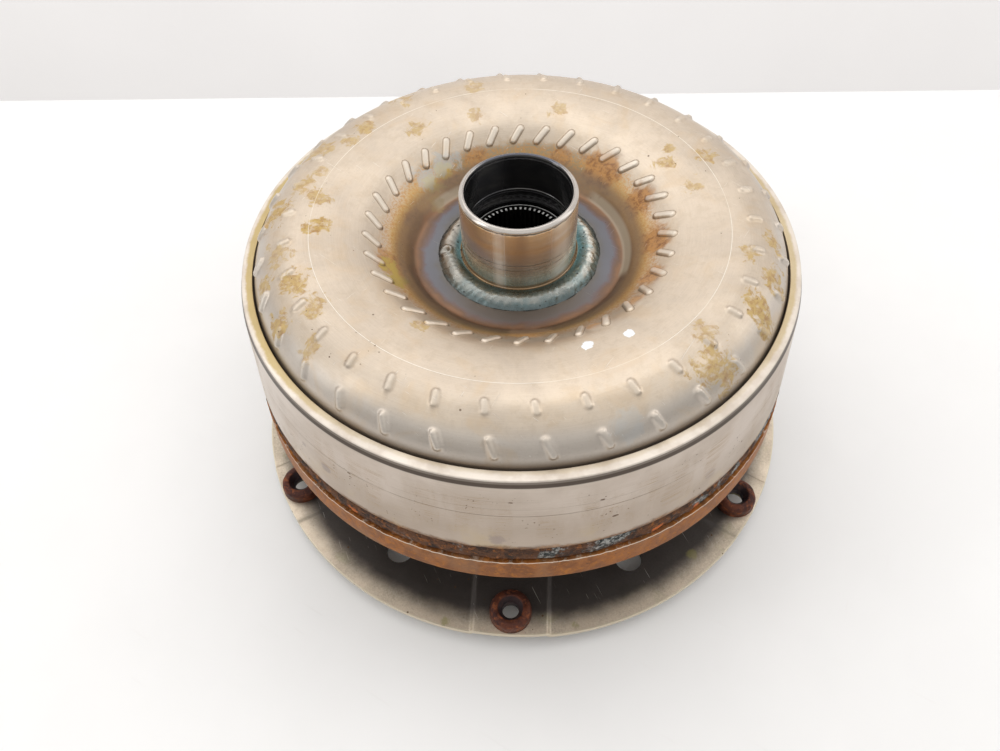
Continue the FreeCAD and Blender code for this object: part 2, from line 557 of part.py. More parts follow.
DRIVEN_FOOT = "(damper_height - driven_wall / 2)"
HUB_FLANGE = f"({dry['slope_at_height'](TURBINE_SEAT)} - soft_gap)"
HUB_TUBE_TOP = f"({FRONT_PLATE_FOOT} - 4 * soft_gap)"
DRIVE_FLANGE = f"({DRIVE_RIVETS} + drive_flange_margin)"
DRIVE_FLANGE_FOOT = f"({DRIVEN_FOOT} - drive_flange_wall)"
HUB_FLANGE_FOOT = f"({TURBINE_SEAT} - hub_flange_wall)"
SEAL_FOOT = "(piston_floor + piston_collar / 2)"
SEAL_TOP = f"({SEAL_FOOT} + seal_size)"
SEAL_BED = "(journal_radius - seal_size)"
turbine_hub = turned("turbine_hub", [
    ("shaft_spline_tip", HUB_FOOT), ("journal_radius", HUB_FOOT), ("journal_radius", SEAL_FOOT),
    (SEAL_BED, SEAL_FOOT), (SEAL_BED, SEAL_TOP), ("journal_radius", SEAL_TOP),
    ("journal_radius", DRIVE_FLANGE_FOOT), (DRIVE_FLANGE, DRIVE_FLANGE_FOOT), (DRIVE_FLANGE, DRIVEN_FOOT),
    (DRIVEN_BORE, DRIVEN_FOOT), (DRIVEN_BORE, HUB_FLANGE_FOOT), (HUB_FLANGE, HUB_FLANGE_FOOT),
    (HUB_FLANGE, TURBINE_SEAT), ("tube_radius", TURBINE_SEAT), ("tube_radius", HUB_TUBE_TOP),
    ("shaft_spline_tip", HUB_TUBE_TOP),
])


def spline_groove(shaft):
    """One groove of an internal spline, half a pitch wide at its bottom."""
    return oblong(f"({shaft}_spline_tip - overcut)", f"{shaft}_spline",
                  f"({shaft}_spline * pi / {shaft}_teeth / 2)")


raised(turbine_hub, "shaft_splines", spline_groove("shaft"), HUB_FOOT, HUB_TOP, "shaft_teeth", cut=True)
for body in (turbine_shell, turbine_hub):
    holes(body, body.Label + "_rivet_holes", "rivet_circle", "rivet_radius", DRIVEN_FOOT + " + driven_wall",
          HUB_TOP, "rivet_count")


def rivet(circle, foot, top):
    """Rivet with a round head at each end, through everything from foot to top."""
    shank = post("rivet_radius", foot, top, circle)
    heads = [post("rivet_head", f"({foot} - rivet_head_height)", foot, circle),
             post("rivet_head", top, f"({top} + rivet_head_height)", circle)]
    return shank.fuse(heads).removeSplitter()


feature("turbine_rivets", around(rivet("rivet_circle", HUB_FLANGE_FOOT, TURBINE_LAP), num("rivet_count")))

# ---------------------------------------------------------------- stator
STATOR_HUB = f"({CAM_RADIUS} + stator_hub_wall)"
SHROUD_BORE = f"({CORE_RADIUS} - core_arc)"
SHROUD_RADIUS = f"({SHROUD_BORE} + stator_shroud_wall)"


def band(inner, outer, foot, top):
    """Solid of a plain flat ring, for shapes computed in code."""
    return revolved([(inner, foot), (outer, foot), (outer, top), (inner, top)])


low, high = num(f"{STATOR_FOOT} + vane_margin"), num(f"{STATOR_TOP} - vane_margin")
nose, tail = Vector(0, -num("vane_nose"), low), Vector(0, num("vane_tail"), high)
belly = Vector(0, num("vane_belly"), (low + high) / 2)
back = belly - Vector(0, num("vane_wall"), 0)
section = Part.Wire([Part.Arc(nose, belly, tail).toShape(), Part.Arc(tail, back, nose).toShape()])
vane = Part.Face(section).extrude(Vector(num(f"{SHROUD_BORE} - {STATOR_HUB} + 2 * overcut"), 0, 0))
vane.translate(Vector(num(f"{STATOR_HUB} - overcut"), 0, 0))
stator = band(CAM_RADIUS, STATOR_HUB, STATOR_FOOT, STATOR_TOP).fuse(
    [band(SHROUD_BORE, SHROUD_RADIUS, STATOR_FOOT, STATOR_TOP)] + around(vane, num("vane_count")).Solids)
feature("stator_wheel", stator.removeSplitter())

# ---------------------------------------------------------------- one-way clutch
ROLLER_CIRCLE = "(track_radius + roller_radius + running_gap)"
TRACK_CLEAR = "(track_radius + running_gap)"
RAMP_STEPS = 4


def upright(radius, circle, margin, degrees=0.0):
    """Upright round bar in the clutch, its ends set in by a margin, turned about the axis."""
    bar = post(radius, f"({CLUTCH_FOOT} + {margin})", f"({CLUTCH_TOP} - {margin})", circle)
    bar.rotate(Vector(), Vector(0, 0, 1), degrees)
    return bar


pocket = []
for step in range(RAMP_STEPS):
    share = step / (RAMP_STEPS - 1)
    room = f"(roller_radius + ramp_clear + (ramp_rise - ramp_clear) * {share})"
    pocket.append(upright(room, ROLLER_CIRCLE, "-overcut", share * num("ramp_angle")))
pocket = pocket[0].fuse(pocket[1:])
cam = band(CAM_BORE, CAM_RADIUS, CLUTCH_FOOT, CLUTCH_TOP)
feature("clutch_cam", cam.cut(around(pocket, num("roller_count")).Solids).removeSplitter())
feature("clutch_rollers", around(upright("roller_radius", ROLLER_CIRCLE, "axial_gap"), num("roller_count")))

STRIP_CIRCLE = f"({ROLLER_CIRCLE} + strip_shift)"
strip_turn = num("strip_angle")
strip = upright("strip_radius", STRIP_CIRCLE, "strip_margin", strip_turn)
strip = strip.cut(upright("(strip_radius - strip_wall)", STRIP_CIRCLE, "overcut", strip_turn))
feature("roller_springs", around(strip, num("roller_count")))

ring("clutch_front_plate", TRACK_CLEAR, f"({CAM_RADIUS} - overcut)", FRONT_PLATE_FOOT, CLUTCH_FOOT)
ring("clutch_rear_plate", TRACK_CLEAR, CAM_RADIUS, CLUTCH_TOP, REAR_PLATE_TOP)

RACE_FOOT = f"({FRONT_PLATE_FOOT} + soft_gap)"
RACE_SHOULDER = f"({REAR_PLATE_TOP} - soft_gap)"
RACE_TOP = f"({REAR_SEAT} + collar_rise)"
inner_race = turned("clutch_inner_race", [
    ("race_spline_tip", RACE_FOOT), ("track_radius", RACE_FOOT), ("track_radius", RACE_SHOULDER),
    ("collar_radius", RACE_SHOULDER), ("collar_radius", RACE_TOP), ("race_spline_tip", RACE_TOP),
])
raised(inner_race, "race_splines", spline_groove("race"), FRONT_PLATE_FOOT, HUB_TOP, "race_teeth",
       cut=True)


# ---------------------------------------------------------------- thrust needle bearings
def thrust_bearing(name, foot, circle, count):
    """Two races with a cage of radial needles between them."""
    inner = f"({circle} - needle_length / 2 - washer_margin)"
    outer = f"({circle} + needle_length / 2 + washer_margin)"
    needle_foot = f"({foot} + washer_wall + axial_gap)"
    ring(name + "_lower_race", inner, outer, foot, f"({foot} + washer_wall)")
    ring(name + "_upper_race", inner, outer, f"({foot} + {BEARING} - washer_wall)", f"({foot} + {BEARING})")

    def bar(radius, extra):
        start = Vector(num(f"{circle} - needle_length / 2") - extra, 0, num(f"{needle_foot} + needle_radius"))
        return Part.makeCylinder(radius, num("needle_length") + 2 * extra, start, Vector(1, 0, 0))

    cage = band(inner, outer, f"({needle_foot} + cage_recess)",
                f"({needle_foot} + 2 * needle_radius - cage_recess)")
    slots = around(bar(num("needle_radius + running_gap"), num("running_gap")), num(count))
    feature(name + "_cage", cage.cut(slots.Solids).removeSplitter())
    feature(name + "_needles", around(bar(num("needle_radius"), 0.0), num(count)))


thrust_bearing("rear_bearing", REAR_PLATE_TOP, "middle_bearing", "middle_needles")
thrust_bearing("middle_bearing", TURBINE_SEAT, "middle_bearing", "middle_needles")
thrust_bearing("front_bearing", PILOT_SEAT, "front_bearing", "front_needles")

# ---------------------------------------------------------------- torsional damper
FRONT_RETAINER = "(damper_height - damper_spacing / 2 - retainer_wall)"
FRONT_RETAINER_TOP = f"({FRONT_RETAINER} + retainer_wall)"
REAR_RETAINER = "(damper_height + damper_spacing / 2)"
REAR_RETAINER_TOP = f"({REAR_RETAINER} + retainer_wall)"
DAMPER_BORE = "(spacer_circle - rivet_head - spacer_margin)"
LUG_INNER, LUG_OUTER = "(lug_circle - lug_wall / 2)", "(lug_circle + lug_wall / 2)"


def window(half_width):
    """Window that a spring sits in, its length along the tangent."""
    return oblong(f"(spring_circle - {half_width})", f"(spring_circle + {half_width})",
                  "(spring_length / 2 + running_gap)")


retainer_window = window("(sqrt(spring_radius ^ 2 - (damper_spacing / 2) ^ 2) + soft_gap)")
for name, foot in (("damper_front_plate", FRONT_RETAINER), ("damper_rear_plate", REAR_RETAINER)):
    plate = ring(name, DAMPER_BORE, "damper_radius", foot, f"({foot} + retainer_wall)")
    raised(plate, name + "_windows", retainer_window, foot, "retainer_wall", "spring_count", cut=True)
    holes(plate, name + "_rivet_holes", "spacer_circle", "rivet_radius", foot, "retainer_wall",
          "spring_count", BETWEEN_SPRINGS)
    if foot == FRONT_RETAINER:
        notch = oblong(f"({LUG_INNER} - soft_gap)", "(damper_radius + overcut)",
                       "(lug_half_width + soft_gap)")
        raised(plate, "lug_notches", notch, foot, "retainer_wall", "spring_count", BETWEEN_SPRINGS,
               cut=True)

DRIVEN_TOP = f"({DRIVEN_FOOT} + driven_wall)"
driven = ring("damper_driven_plate", DRIVEN_BORE, "(damper_radius - driven_inset)", DRIVEN_FOOT, DRIVEN_TOP)
raised(driven, "driven_windows", window("(spring_radius + soft_gap)"), DRIVEN_FOOT, "driven_wall",
       "spring_count", cut=True)
spacer_slot = oblong("(spacer_circle * cos(twist_limit) - spacer_radius - 2 * soft_gap)",
                     "(spacer_circle + spacer_radius + soft_gap)",
                     "(spacer_circle * tan(twist_limit) + spacer_radius + 2 * soft_gap)")
raised(driven, "spacer_slots", spacer_slot, DRIVEN_FOOT, "driven_wall", "spring_count", BETWEEN_SPRINGS,
       cut=True)
for body in (driven, turbine_hub):
    holes(body, body.Label + "_drive_holes", DRIVE_RIVETS, "rivet_radius", DRIVE_FLANGE_FOOT,
          "driven_wall + drive_flange_wall", "rivet_count")
feature("driven_plate_rivets", around(rivet(DRIVE_RIVETS, DRIVE_FLANGE_FOOT, DRIVEN_TOP), num("rivet_count")))

spacer = post("spacer_radius", FRONT_RETAINER_TOP, REAR_RETAINER, "spacer_circle")
spacer = spacer.fuse(rivet("spacer_circle", FRONT_RETAINER, REAR_RETAINER_TOP)).removeSplitter()
feature("damper_spacers", around(spacer, num("spring_count"), num(BETWEEN_SPRINGS)))


def coil_spring(radius, wire, length):
    """Coil spring lying along the tangent at the spring circle."""
    mean = radius - wire
    turns = int(length / (num("coil_pitch") * wire))
    pitch = (length - 2 * wire) / turns
    helix = Part.makeHelix(pitch, length - 2 * wire, mean)
    section = Part.Wire([Part.makeCircle(wire, Vector(mean, 0, 0), Vector(0, 1, 0))])
    coil = Part.Wire(helix).makePipeShell([section], True, True)
    coil.translate(Vector(0, 0, -(length - 2 * wire) / 2))
    coil.rotate(Vector(), Vector(1, 0, 0), 90)
    coil.translate(Vector(num("spring_circle"), 0, num("damper_height")))
    return coil


outer_spring = coil_spring(num("spring_radius - spring_play"), num("spring_wire"), num("spring_length"))
feature("damper_outer_springs", around(outer_spring, num("spring_count")))
inner_spring = coil_spring(num("inner_spring_radius"), num("inner_spring_wire"), num("spring_length"))
feature("damper_inner_springs", around(inner_spring, num("spring_count")))

# ---------------------------------------------------------------- lock-up piston, lining and seal
PISTON_SHIFT = f"({WALL_SHIFT} + piston_cone)"
PISTON_INNER_SHIFT = f"({PISTON_SHIFT} + piston_wall * sqrt(dish_depth ^ 2 + dish_flare ^ 2) / dish_depth)"
PISTON_TOP = f"({PISTON_FOOT} + piston_wall)"
FLOOR_TOP = "(piston_floor + piston_wall)"
PISTON_BORE = "(journal_radius + running_gap)"
piston = turned("lockup_piston", [
    (PISTON_BORE, "piston_floor"), (cone_radius("piston_floor", PISTON_SHIFT), "piston_floor"),
    (cone_radius(PISTON_FOOT, PISTON_SHIFT), PISTON_FOOT), (PISTON_RADIUS, PISTON_FOOT),
    (PISTON_RADIUS, PISTON_TOP), (cone_radius(PISTON_TOP, PISTON_INNER_SHIFT), PISTON_TOP),
    (cone_radius(FLOOR_TOP, PISTON_INNER_SHIFT), FLOOR_TOP),
    (f"({PISTON_BORE} + piston_collar_wall)", FLOOR_TOP),
    (f"({PISTON_BORE} + piston_collar_wall)", "(piston_floor + piston_collar)"),
    (PISTON_BORE, "(piston_floor + piston_collar)"),
])
raised(piston, "drive_lugs", oblong(LUG_INNER, LUG_OUTER, "lug_half_width"), FLOOR_TOP,
       f"({FRONT_RETAINER_TOP} - {FLOOR_TOP})", "spring_count", BETWEEN_SPRINGS)
ring("piston_seal", SEAL_BED, "(journal_radius + running_gap / 2)", SEAL_FOOT, SEAL_TOP)
ring("friction_lining", f"({LINING_OUTER} - lining_width)", LINING_OUTER, LINING_FOOT, PISTON_FOOT)

doc.recompute()

# ---------------------------------------------------------------- checks and export
for item in doc.Objects:
    if "Invalid" in item.State or "Error" in item.State:
        raise ValueError(f"{item.Name} failed: {item.State}")
os.makedirs("parts", exist_ok=True)
for node in parts:
    shape = node.Shape
    if shape.isNull() or not shape.isValid() or not shape.Solids:
        raise ValueError(f"{node.Label} has no valid solid")
    shape.exportStep(f"parts/{node.Label}.step")
    box = shape.BoundBox
    print(f"{node.Label}: {len(shape.Solids)} solids, {shape.Volume:.0f} mm3, "
          f"z {box.ZMin:.2f} to {box.ZMax:.2f}")
print(f"{len(parts)} nodes")
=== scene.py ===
# %% [markdown]
# # A used torque converter on a white table
#
# The converter's construction, its joints and its inner pieces come with the frame. This lesson
# gives the outside its finish: the ribbed dome, the polished hub, the machined drum, the rusty weld
# and rim, and the thin drive plate with its six rusty nuts. Sizes are in millimetres, measured from
# the tip of the crank pilot, and become metres when a mesh is made.

# %% Load the frame and keep its size
import json
import math
import random

import bpy
import numpy as np
from mathutils import Matrix, Vector, noise


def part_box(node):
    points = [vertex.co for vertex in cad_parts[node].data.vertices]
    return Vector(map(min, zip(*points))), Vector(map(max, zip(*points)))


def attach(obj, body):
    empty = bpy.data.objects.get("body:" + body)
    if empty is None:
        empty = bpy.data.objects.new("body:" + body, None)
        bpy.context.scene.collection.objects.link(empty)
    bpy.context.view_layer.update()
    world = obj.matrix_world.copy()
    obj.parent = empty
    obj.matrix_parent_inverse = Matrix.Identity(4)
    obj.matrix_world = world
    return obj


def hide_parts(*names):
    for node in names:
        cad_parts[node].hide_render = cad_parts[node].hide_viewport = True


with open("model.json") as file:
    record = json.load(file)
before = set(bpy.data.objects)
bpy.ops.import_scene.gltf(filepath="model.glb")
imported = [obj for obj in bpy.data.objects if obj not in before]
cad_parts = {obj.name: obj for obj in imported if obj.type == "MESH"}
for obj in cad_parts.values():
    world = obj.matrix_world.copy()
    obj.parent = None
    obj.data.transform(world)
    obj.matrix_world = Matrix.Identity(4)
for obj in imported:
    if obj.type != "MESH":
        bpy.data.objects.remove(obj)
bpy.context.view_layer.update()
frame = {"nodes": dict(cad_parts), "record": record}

MM = 0.001


def size_of(node):
    """(radius, foot, top) of a round node, in millimetres."""
    low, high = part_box(node)
    return high.x / MM, low.z / MM, high.z / MM


SHELL_RADIUS, SHELL_FOOT, CROWN = size_of("impeller_shell")
FLANGE_RADIUS, HUB_FOOT, HUB_TOP = size_of("pump_hub")
DRUM_FLARE, DRUM_FOOT, DRUM_TOP = size_of("drum_ring")
RIM_RADIUS, COVER_FACE, COVER_EDGE = size_of("front_cover")
PLATE_RADIUS, PLATE_FOOT, PAD_TOP = size_of("flexplate")
print(f"dome {SHELL_RADIUS:.1f} x {CROWN:.1f}, drum to {DRUM_TOP:.1f}, plate {PLATE_RADIUS:.1f} mm")

# %% [markdown]
# ## Camera
#
# The converter is looked at from above and in front, from about half a metre. A short lens that near
# makes the hub look large and the plate small, so the distance matters as much as the direction. The
# camera is built from three directions (right, up and backwards), because that is exactly what its
# matrix holds. The whole view is then turned about the axis, so that one nut lies at the front.

# %% Camera
VIEW_TURN = math.radians(4.8)
camera = bpy.data.objects.new("camera", bpy.data.cameras.new("camera"))
bpy.context.scene.collection.objects.link(camera)
camera.data.sensor_width = 36.0
camera.data.lens = 30.83
camera.data.clip_start = 0.02
view_right = Vector((0.99913, -0.03335, -0.02507))
view_up = Vector((0.04172, 0.79866, 0.60033))
view_back = view_right.cross(view_up)
looking = Matrix((view_right, view_up, view_back)).transposed().to_4x4()
looking.translation = Vector((-12.06, -305.13, 438.27)) * MM
camera.matrix_world = Matrix.Rotation(VIEW_TURN, 4, "Z") @ looking
bpy.context.scene.camera = camera
print("camera at", [round(v, 3) for v in camera.matrix_world.translation])

# %% [markdown]
# ## Writing node trees in words
#
# A material is a graph, and a graph written call by call is hard to read. This small class adds a node
# and joins it up in one call, and hands back the socket that it makes, so that a material reads like a
# recipe: take noise, cut it to a mask, use the mask to blend two colours.

# %% A class that writes node trees
class Recipe:
    """Adds nodes to one tree. Every method returns the socket that it makes."""

    def __init__(self, tree):
        self.tree = tree

    def node(self, kind, inputs=(), **settings):
        made = self.tree.nodes.new(kind)
        for name, value in settings.items():
            setattr(made, name, value)
        for name, value in dict(inputs).items():
            if isinstance(value, bpy.types.NodeSocket):
                self.tree.links.new(value, made.inputs[name])
            else:
                made.inputs[name].default_value = value
        return made

    def put(self, kind, inputs=(), output=0, **settings):
        return self.node(kind, inputs, **settings).outputs[output]

    def math(self, operation, *values):
        return self.put("ShaderNodeMath", dict(enumerate(values)), operation=operation)

    def times(self, one, two):
        return self.math("MULTIPLY", one, two)

    def plus(self, one, two):
        return self.math("ADD", one, two)

    def most(self, *values):
        """The largest of several masks."""
        largest = values[0]
        for value in values[1:]:
            largest = self.math("MAXIMUM", largest, value)
        return largest

    def rise(self, value, low, high, start=0.0, end=1.0):
        """Goes smoothly from start to end while the value goes from low to high."""
        ends = {0: value, 1: low, 2: high, 3: start, 4: end}
        return self.put("ShaderNodeMapRange", ends, interpolation_type="SMOOTHSTEP")

    def band(self, value, low, high, soft):
        """1 between low and high, with soft shoulders."""
        entering = self.rise(value, low - soft, low + soft)
        return self.times(entering, self.rise(value, high + soft, high - soft))

    def apart(self, value, centre):
        """How far a value lies from a centre, either way."""
        return self.math("ABSOLUTE", self.math("SUBTRACT", value, centre))

    def wandering(self, value, noise, width):
        """The value, pushed up and down by a noise within the width."""
        return self.plus(value, self.times(self.math("SUBTRACT", noise, 0.5), width))

    def blend(self, mask, one, two, how="MIX"):
        """Colour one where the mask is 0, colour two where it is 1."""
        return self.put("ShaderNodeMix", {0: mask, 6: one, 7: two}, 2, data_type="RGBA", blend_type=how)

    def noise(self, place, scale, detail=4.0, rough=0.55, warp=0.0):
        inputs = {"Vector": place, "Scale": scale, "Detail": detail, "Roughness": rough, "Distortion": warp}
        return self.put("ShaderNodeTexNoise", inputs)

    def scaled(self, place, size):
        return self.put("ShaderNodeVectorMath", {0: place, 1: size}, operation="MULTIPLY")

    def group(self, name, **inputs):
        """Uses a node group; an input's name has _ for a space."""
        made = self.tree.nodes.new("ShaderNodeGroup")
        made.node_tree = bpy.data.node_groups[name]
        for label, value in inputs.items():
            socket = made.inputs[label.replace("_", " ")]
            if isinstance(value, bpy.types.NodeSocket):
                self.tree.links.new(value, socket)
            else:
                socket.default_value = value
        return made.outputs


def colour(red, green, blue):
    """Colour as a node input wants it, with full opacity."""
    return (red, green, blue, 1.0)


FLOAT, VECTOR = "NodeSocketFloat", "NodeSocketVector"


def new_group(name, inputs, outputs):
    """Empty node group; returns its recipe, its inputs by name and its output sockets."""
    tree = bpy.data.node_groups.new(name, "ShaderNodeTree")
    for label, kind in inputs:
        tree.interface.new_socket(label, in_out="INPUT", socket_type=kind)
    for label, kind in outputs:
        tree.interface.new_socket(label, in_out="OUTPUT", socket_type=kind)
    entry = tree.nodes.new("NodeGroupInput")
    exit_node = tree.nodes.new("NodeGroupOutput")
    print("group", name, [label for label, _ in inputs], "->", [label for label, _ in outputs])
    return Recipe(tree), entry.outputs, exit_node.inputs


# %% [markdown]
# ## Effects that several finishes share
#
# Nearly every face here was turned, pressed or welded as a ring, so its marks follow circles about the
# axis. The first group turns a place into radius, height and a direction on the unit circle. A noise
# that is read with that direction and a stretched radius or height gives streaks that run round
# without a seam. The others are the marks of age: pits, hairline scratches and ragged stains.

# %% Group: where a point lies about the axis
draw, given, result = new_group("about the axis", [("Place", VECTOR)], [
    ("Radius", FLOAT), ("Height", FLOAT), ("Angle", FLOAT), ("Direction", VECTOR), ("Millimetres", VECTOR)])
millimetres = draw.scaled(given["Place"], (1 / MM, 1 / MM, 1 / MM))
split = draw.put("ShaderNodeSeparateXYZ", {0: millimetres}).node.outputs
flat = draw.put("ShaderNodeCombineXYZ", {0: split[0], 1: split[1], 2: 0.0})
draw.tree.links.new(draw.put("ShaderNodeVectorMath", {0: flat}, 1, operation="LENGTH"), result["Radius"])
draw.tree.links.new(split[2], result["Height"])
draw.tree.links.new(draw.times(draw.math("ARCTAN2", split[1], split[0]), 180 / math.pi), result["Angle"])
draw.tree.links.new(draw.put("ShaderNodeVectorMath", {0: flat}, operation="NORMALIZE"), result["Direction"])
draw.tree.links.new(millimetres, result["Millimetres"])

# %% Group: streaks that run round the axis
draw, given, result = new_group("streaks round", [
    ("Direction", VECTOR), ("Level", FLOAT), ("Length", FLOAT), ("Fineness", FLOAT)], [("Value", FLOAT)])
around = draw.put("ShaderNodeVectorMath", {0: given["Direction"], "Scale": given["Length"]},
                  operation="SCALE")
level = draw.put("ShaderNodeCombineXYZ", {0: 0.0, 1: 0.0, 2: draw.times(given["Level"], given["Fineness"])})
where = draw.put("ShaderNodeVectorMath", {0: around, 1: level}, operation="ADD")
draw.tree.links.new(draw.noise(where, 1.0, 3.0, 0.6), result["Value"])

# %% Group: small pits
draw, given, result = new_group("pits", [
    ("Place", VECTOR), ("Spacing", FLOAT), ("Size", FLOAT), ("Share", FLOAT)], [("Mask", FLOAT)])
cells = draw.put("ShaderNodeTexVoronoi", {
    "Vector": given["Place"], "Scale": draw.math("DIVIDE", 1.0, given["Spacing"])}).node.outputs
reach = draw.times(cells["Distance"], given["Spacing"])
chance = draw.put("ShaderNodeSeparateXYZ", {0: cells["Color"]}).node.outputs
near = draw.math("LESS_THAN", reach, draw.times(given["Size"], chance[1]))
draw.tree.links.new(draw.times(near, draw.math("LESS_THAN", chance[0], given["Share"])), result["Mask"])

# %% Group: hairline scratches in one direction
draw, given, result = new_group("hairlines", [
    ("Place", VECTOR), ("Turn", FLOAT), ("Length", FLOAT), ("Share", FLOAT)], [("Mask", FLOAT)])
turned_place = draw.put("ShaderNodeVectorRotate", {"Vector": given["Place"], "Angle": given["Turn"]},
                        rotation_type="Z_AXIS")
along = draw.math("DIVIDE", 1.0, given["Length"])
stretch = draw.put("ShaderNodeCombineXYZ", {0: along, 1: 1.6, 2: 0.4})
lines = draw.noise(draw.scaled(turned_place, stretch), 1.0, 1.0, 0.4, 0.3)
cut = draw.math("SUBTRACT", 0.86, given["Share"])
draw.tree.links.new(draw.rise(lines, cut, draw.plus(cut, 0.03)), result["Mask"])

# %% Group: one ragged stain
draw, given, result = new_group("stain", [
    ("Place", VECTOR), ("Centre", VECTOR), ("Size", FLOAT), ("Ragged", FLOAT)], [("Mask", FLOAT)])
away = draw.put("ShaderNodeVectorMath", {0: given["Place"], 1: given["Centre"]}, 1, operation="DISTANCE")
edge = draw.noise(given["Place"], 0.16, 6.0, 0.65, 0.6)
wander = draw.times(draw.math("SUBTRACT", edge, 0.5), draw.times(given["Size"], given["Ragged"]))
rim = draw.plus(away, wander)
inner = draw.times(given["Size"], 0.55)
fade = draw.put("ShaderNodeMapRange", {0: rim, 1: inner, 2: given["Size"], 3: 1.0, 4: 0.0},
                interpolation_type="SMOOTHSTEP")
draw.tree.links.new(fade, result["Mask"])

# %% [markdown]
# ## From masks to a material
#
# Every finish ends the same way: colour, roughness and metallic go into one Principled shader, and
# a height goes through a Bump node into its Normal. What is the same all over the surface, such as
# the hub's anisotropy, is set on the shader itself.

# %% The end of every material
materials = {}


def start_material(name):
    """New material; returns its recipe and where a point lies about the axis."""
    made = bpy.data.materials.new(name)
    made.use_nodes = True
    made.node_tree.nodes.clear()
    materials[name] = made
    recipe = Recipe(made.node_tree)
    place = recipe.put("ShaderNodeTexCoord", output=3)
    return recipe, recipe.group("about the axis", Place=place)


def end_material(recipe, tint, roughness, metallic, height, depth, **constants):
    """Principled shader with a bump of a depth in millimetres."""
    bump = recipe.put("ShaderNodeBump", {"Height": height, "Distance": depth * MM, "Strength": 1.0})
    inputs = {"Base Color": tint, "Roughness": roughness, "Metallic": metallic, "Normal": bump}
    inputs.update({label.replace("_", " "): value for label, value in constants.items()})
    shader = recipe.put("ShaderNodeBsdfPrincipled", inputs)
    recipe.node("ShaderNodeOutputMaterial", {"Surface": shader})


def streaks(recipe, at, level, length, fineness):
    """Streaks round the axis, stretched along one level (a radius or a height)."""
    made = recipe.group("streaks round", Direction=at["Direction"], Level=level, Length=length,
                        Fineness=fineness)
    return made["Value"]


def spot(degrees, radius, height):
    """Place at an angle and a radius, in millimetres."""
    angle = math.radians(degrees)
    return (radius * math.cos(angle), radius * math.sin(angle), height)


def stains(recipe, place, spots, ragged=1.6):
    """Mask of several ragged stains, each (degrees, radius, height, size, strength)."""
    masks = []
    for degrees, radius, height, size, strength in spots:
        centre = spot(degrees, radius, height)
        mask = recipe.group("stain", Place=place, Centre=centre, Size=size, Ragged=ragged)
        masks.append(recipe.times(mask["Mask"], strength))
    return recipe.most(*masks)


# %% [markdown]
# ## The dome's finish
#
# The dome is pressed steel, faintly brushed round by a wire wheel and then left in a damp store. Near
# the hub the weld's heat left rings of colour: dull blue, then purple, then rust where the oil burnt
# off. A colour ramp over the radius gives those rings, and noise added to the radius makes them wander.
# Ochre stains lie where drops dried, and a scribed circle marks the crown.

# %% Dome steel
SCRIBE = 99.6
make, at = start_material("dome_steel")
radius, height, mm = at["Radius"], at["Height"], at["Millimetres"]
cloud = make.noise(mm, 0.022, 5.0, 0.6, 0.4)
grain = make.noise(mm, 0.9, 6.0, 0.7)
brushed = streaks(make, at, radius, 5.0, 2.2)
steel = make.blend(make.rise(cloud, 0.35, 0.65), colour(0.64, 0.54, 0.43), colour(0.55, 0.465, 0.375))
steel = make.blend(make.times(make.rise(brushed, 0.4, 0.62), 0.12), steel, colour(0.78, 0.70, 0.60))
clouded = make.noise(mm, 0.16, 6.0, 0.7, 0.4)
steel = make.blend(make.times(make.rise(clouded, 0.48, 0.64), 0.22), steel, colour(0.46, 0.36, 0.25))
# painted reflection: the lower flank is given the grey of the horizon that it mirrors
flank = make.times(make.rise(height, 156.0, 151.0), make.rise(radius, 108.0, 116.0))
steel = make.blend(make.times(flank, 0.6), steel, colour(0.60, 0.56, 0.52))
steel = make.blend(make.times(make.rise(grain, 0.5, 0.72), 0.2), steel, colour(0.36, 0.31, 0.26))
warm = make.noise(mm, 0.05, 4.0, 0.6, 0.8)
steel = make.blend(make.times(make.rise(warm, 0.48, 0.7), 0.32), steel, colour(0.60, 0.44, 0.27))

drops = stains(make, mm, [
    (142, 105, 159, 6, 0.7), (149, 104, 159, 5, 0.6), (131, 87, 157, 6, 0.6), (108, 84, 157, 5, 0.5),
    (105, 105, 159, 6, 0.5), (78, 86, 157, 5, 0.5), (31, 84, 157, 5, 0.7), (35, 90, 158, 4, 0.7),
    (16, 88, 157, 6, 0.6), (26, 101, 159, 6, 0.7), (174, 99, 159, 6, 0.7), (-174, 97, 159, 6, 0.9),
    (164, 104, 159, 5, 0.6), (179, 120, 154, 10, 0.85), (170, 109, 159, 7, 0.7), (-148, 123, 151, 7, 0.8),
    (-145, 107, 159, 7, 0.7), (-155, 110, 158, 8, 0.8), (-16, 120, 154, 9, 0.8), (-26, 119, 155, 8, 0.85),
    (-28, 124, 150, 8, 0.8), (-12, 108, 159, 5, 0.7), (-41, 106, 159, 6, 0.6), (-137, 119, 155, 6, 0.6),
    (-46, 121, 153, 12, 0.75), (-121, 78, 155, 4, 0.7), (-160, 124, 150, 7, 0.75), (-6, 120, 154, 7, 0.75),
    (126, 112, 157, 8, 0.6), (156, 116, 156, 9, 0.6), (-166, 115, 156, 8, 0.55)], 4.2)
mottle = make.rise(make.noise(mm, 0.35, 6.0, 0.7, 0.5), 0.42, 0.66)
ochre = make.blend(mottle, colour(0.55, 0.38, 0.12), colour(0.40, 0.22, 0.065))
stained = make.times(drops, make.rise(make.noise(mm, 0.3, 5.0, 0.65), 0.34, 0.52, 0.3, 1.0))
steel = make.blend(stained, steel, ochre)

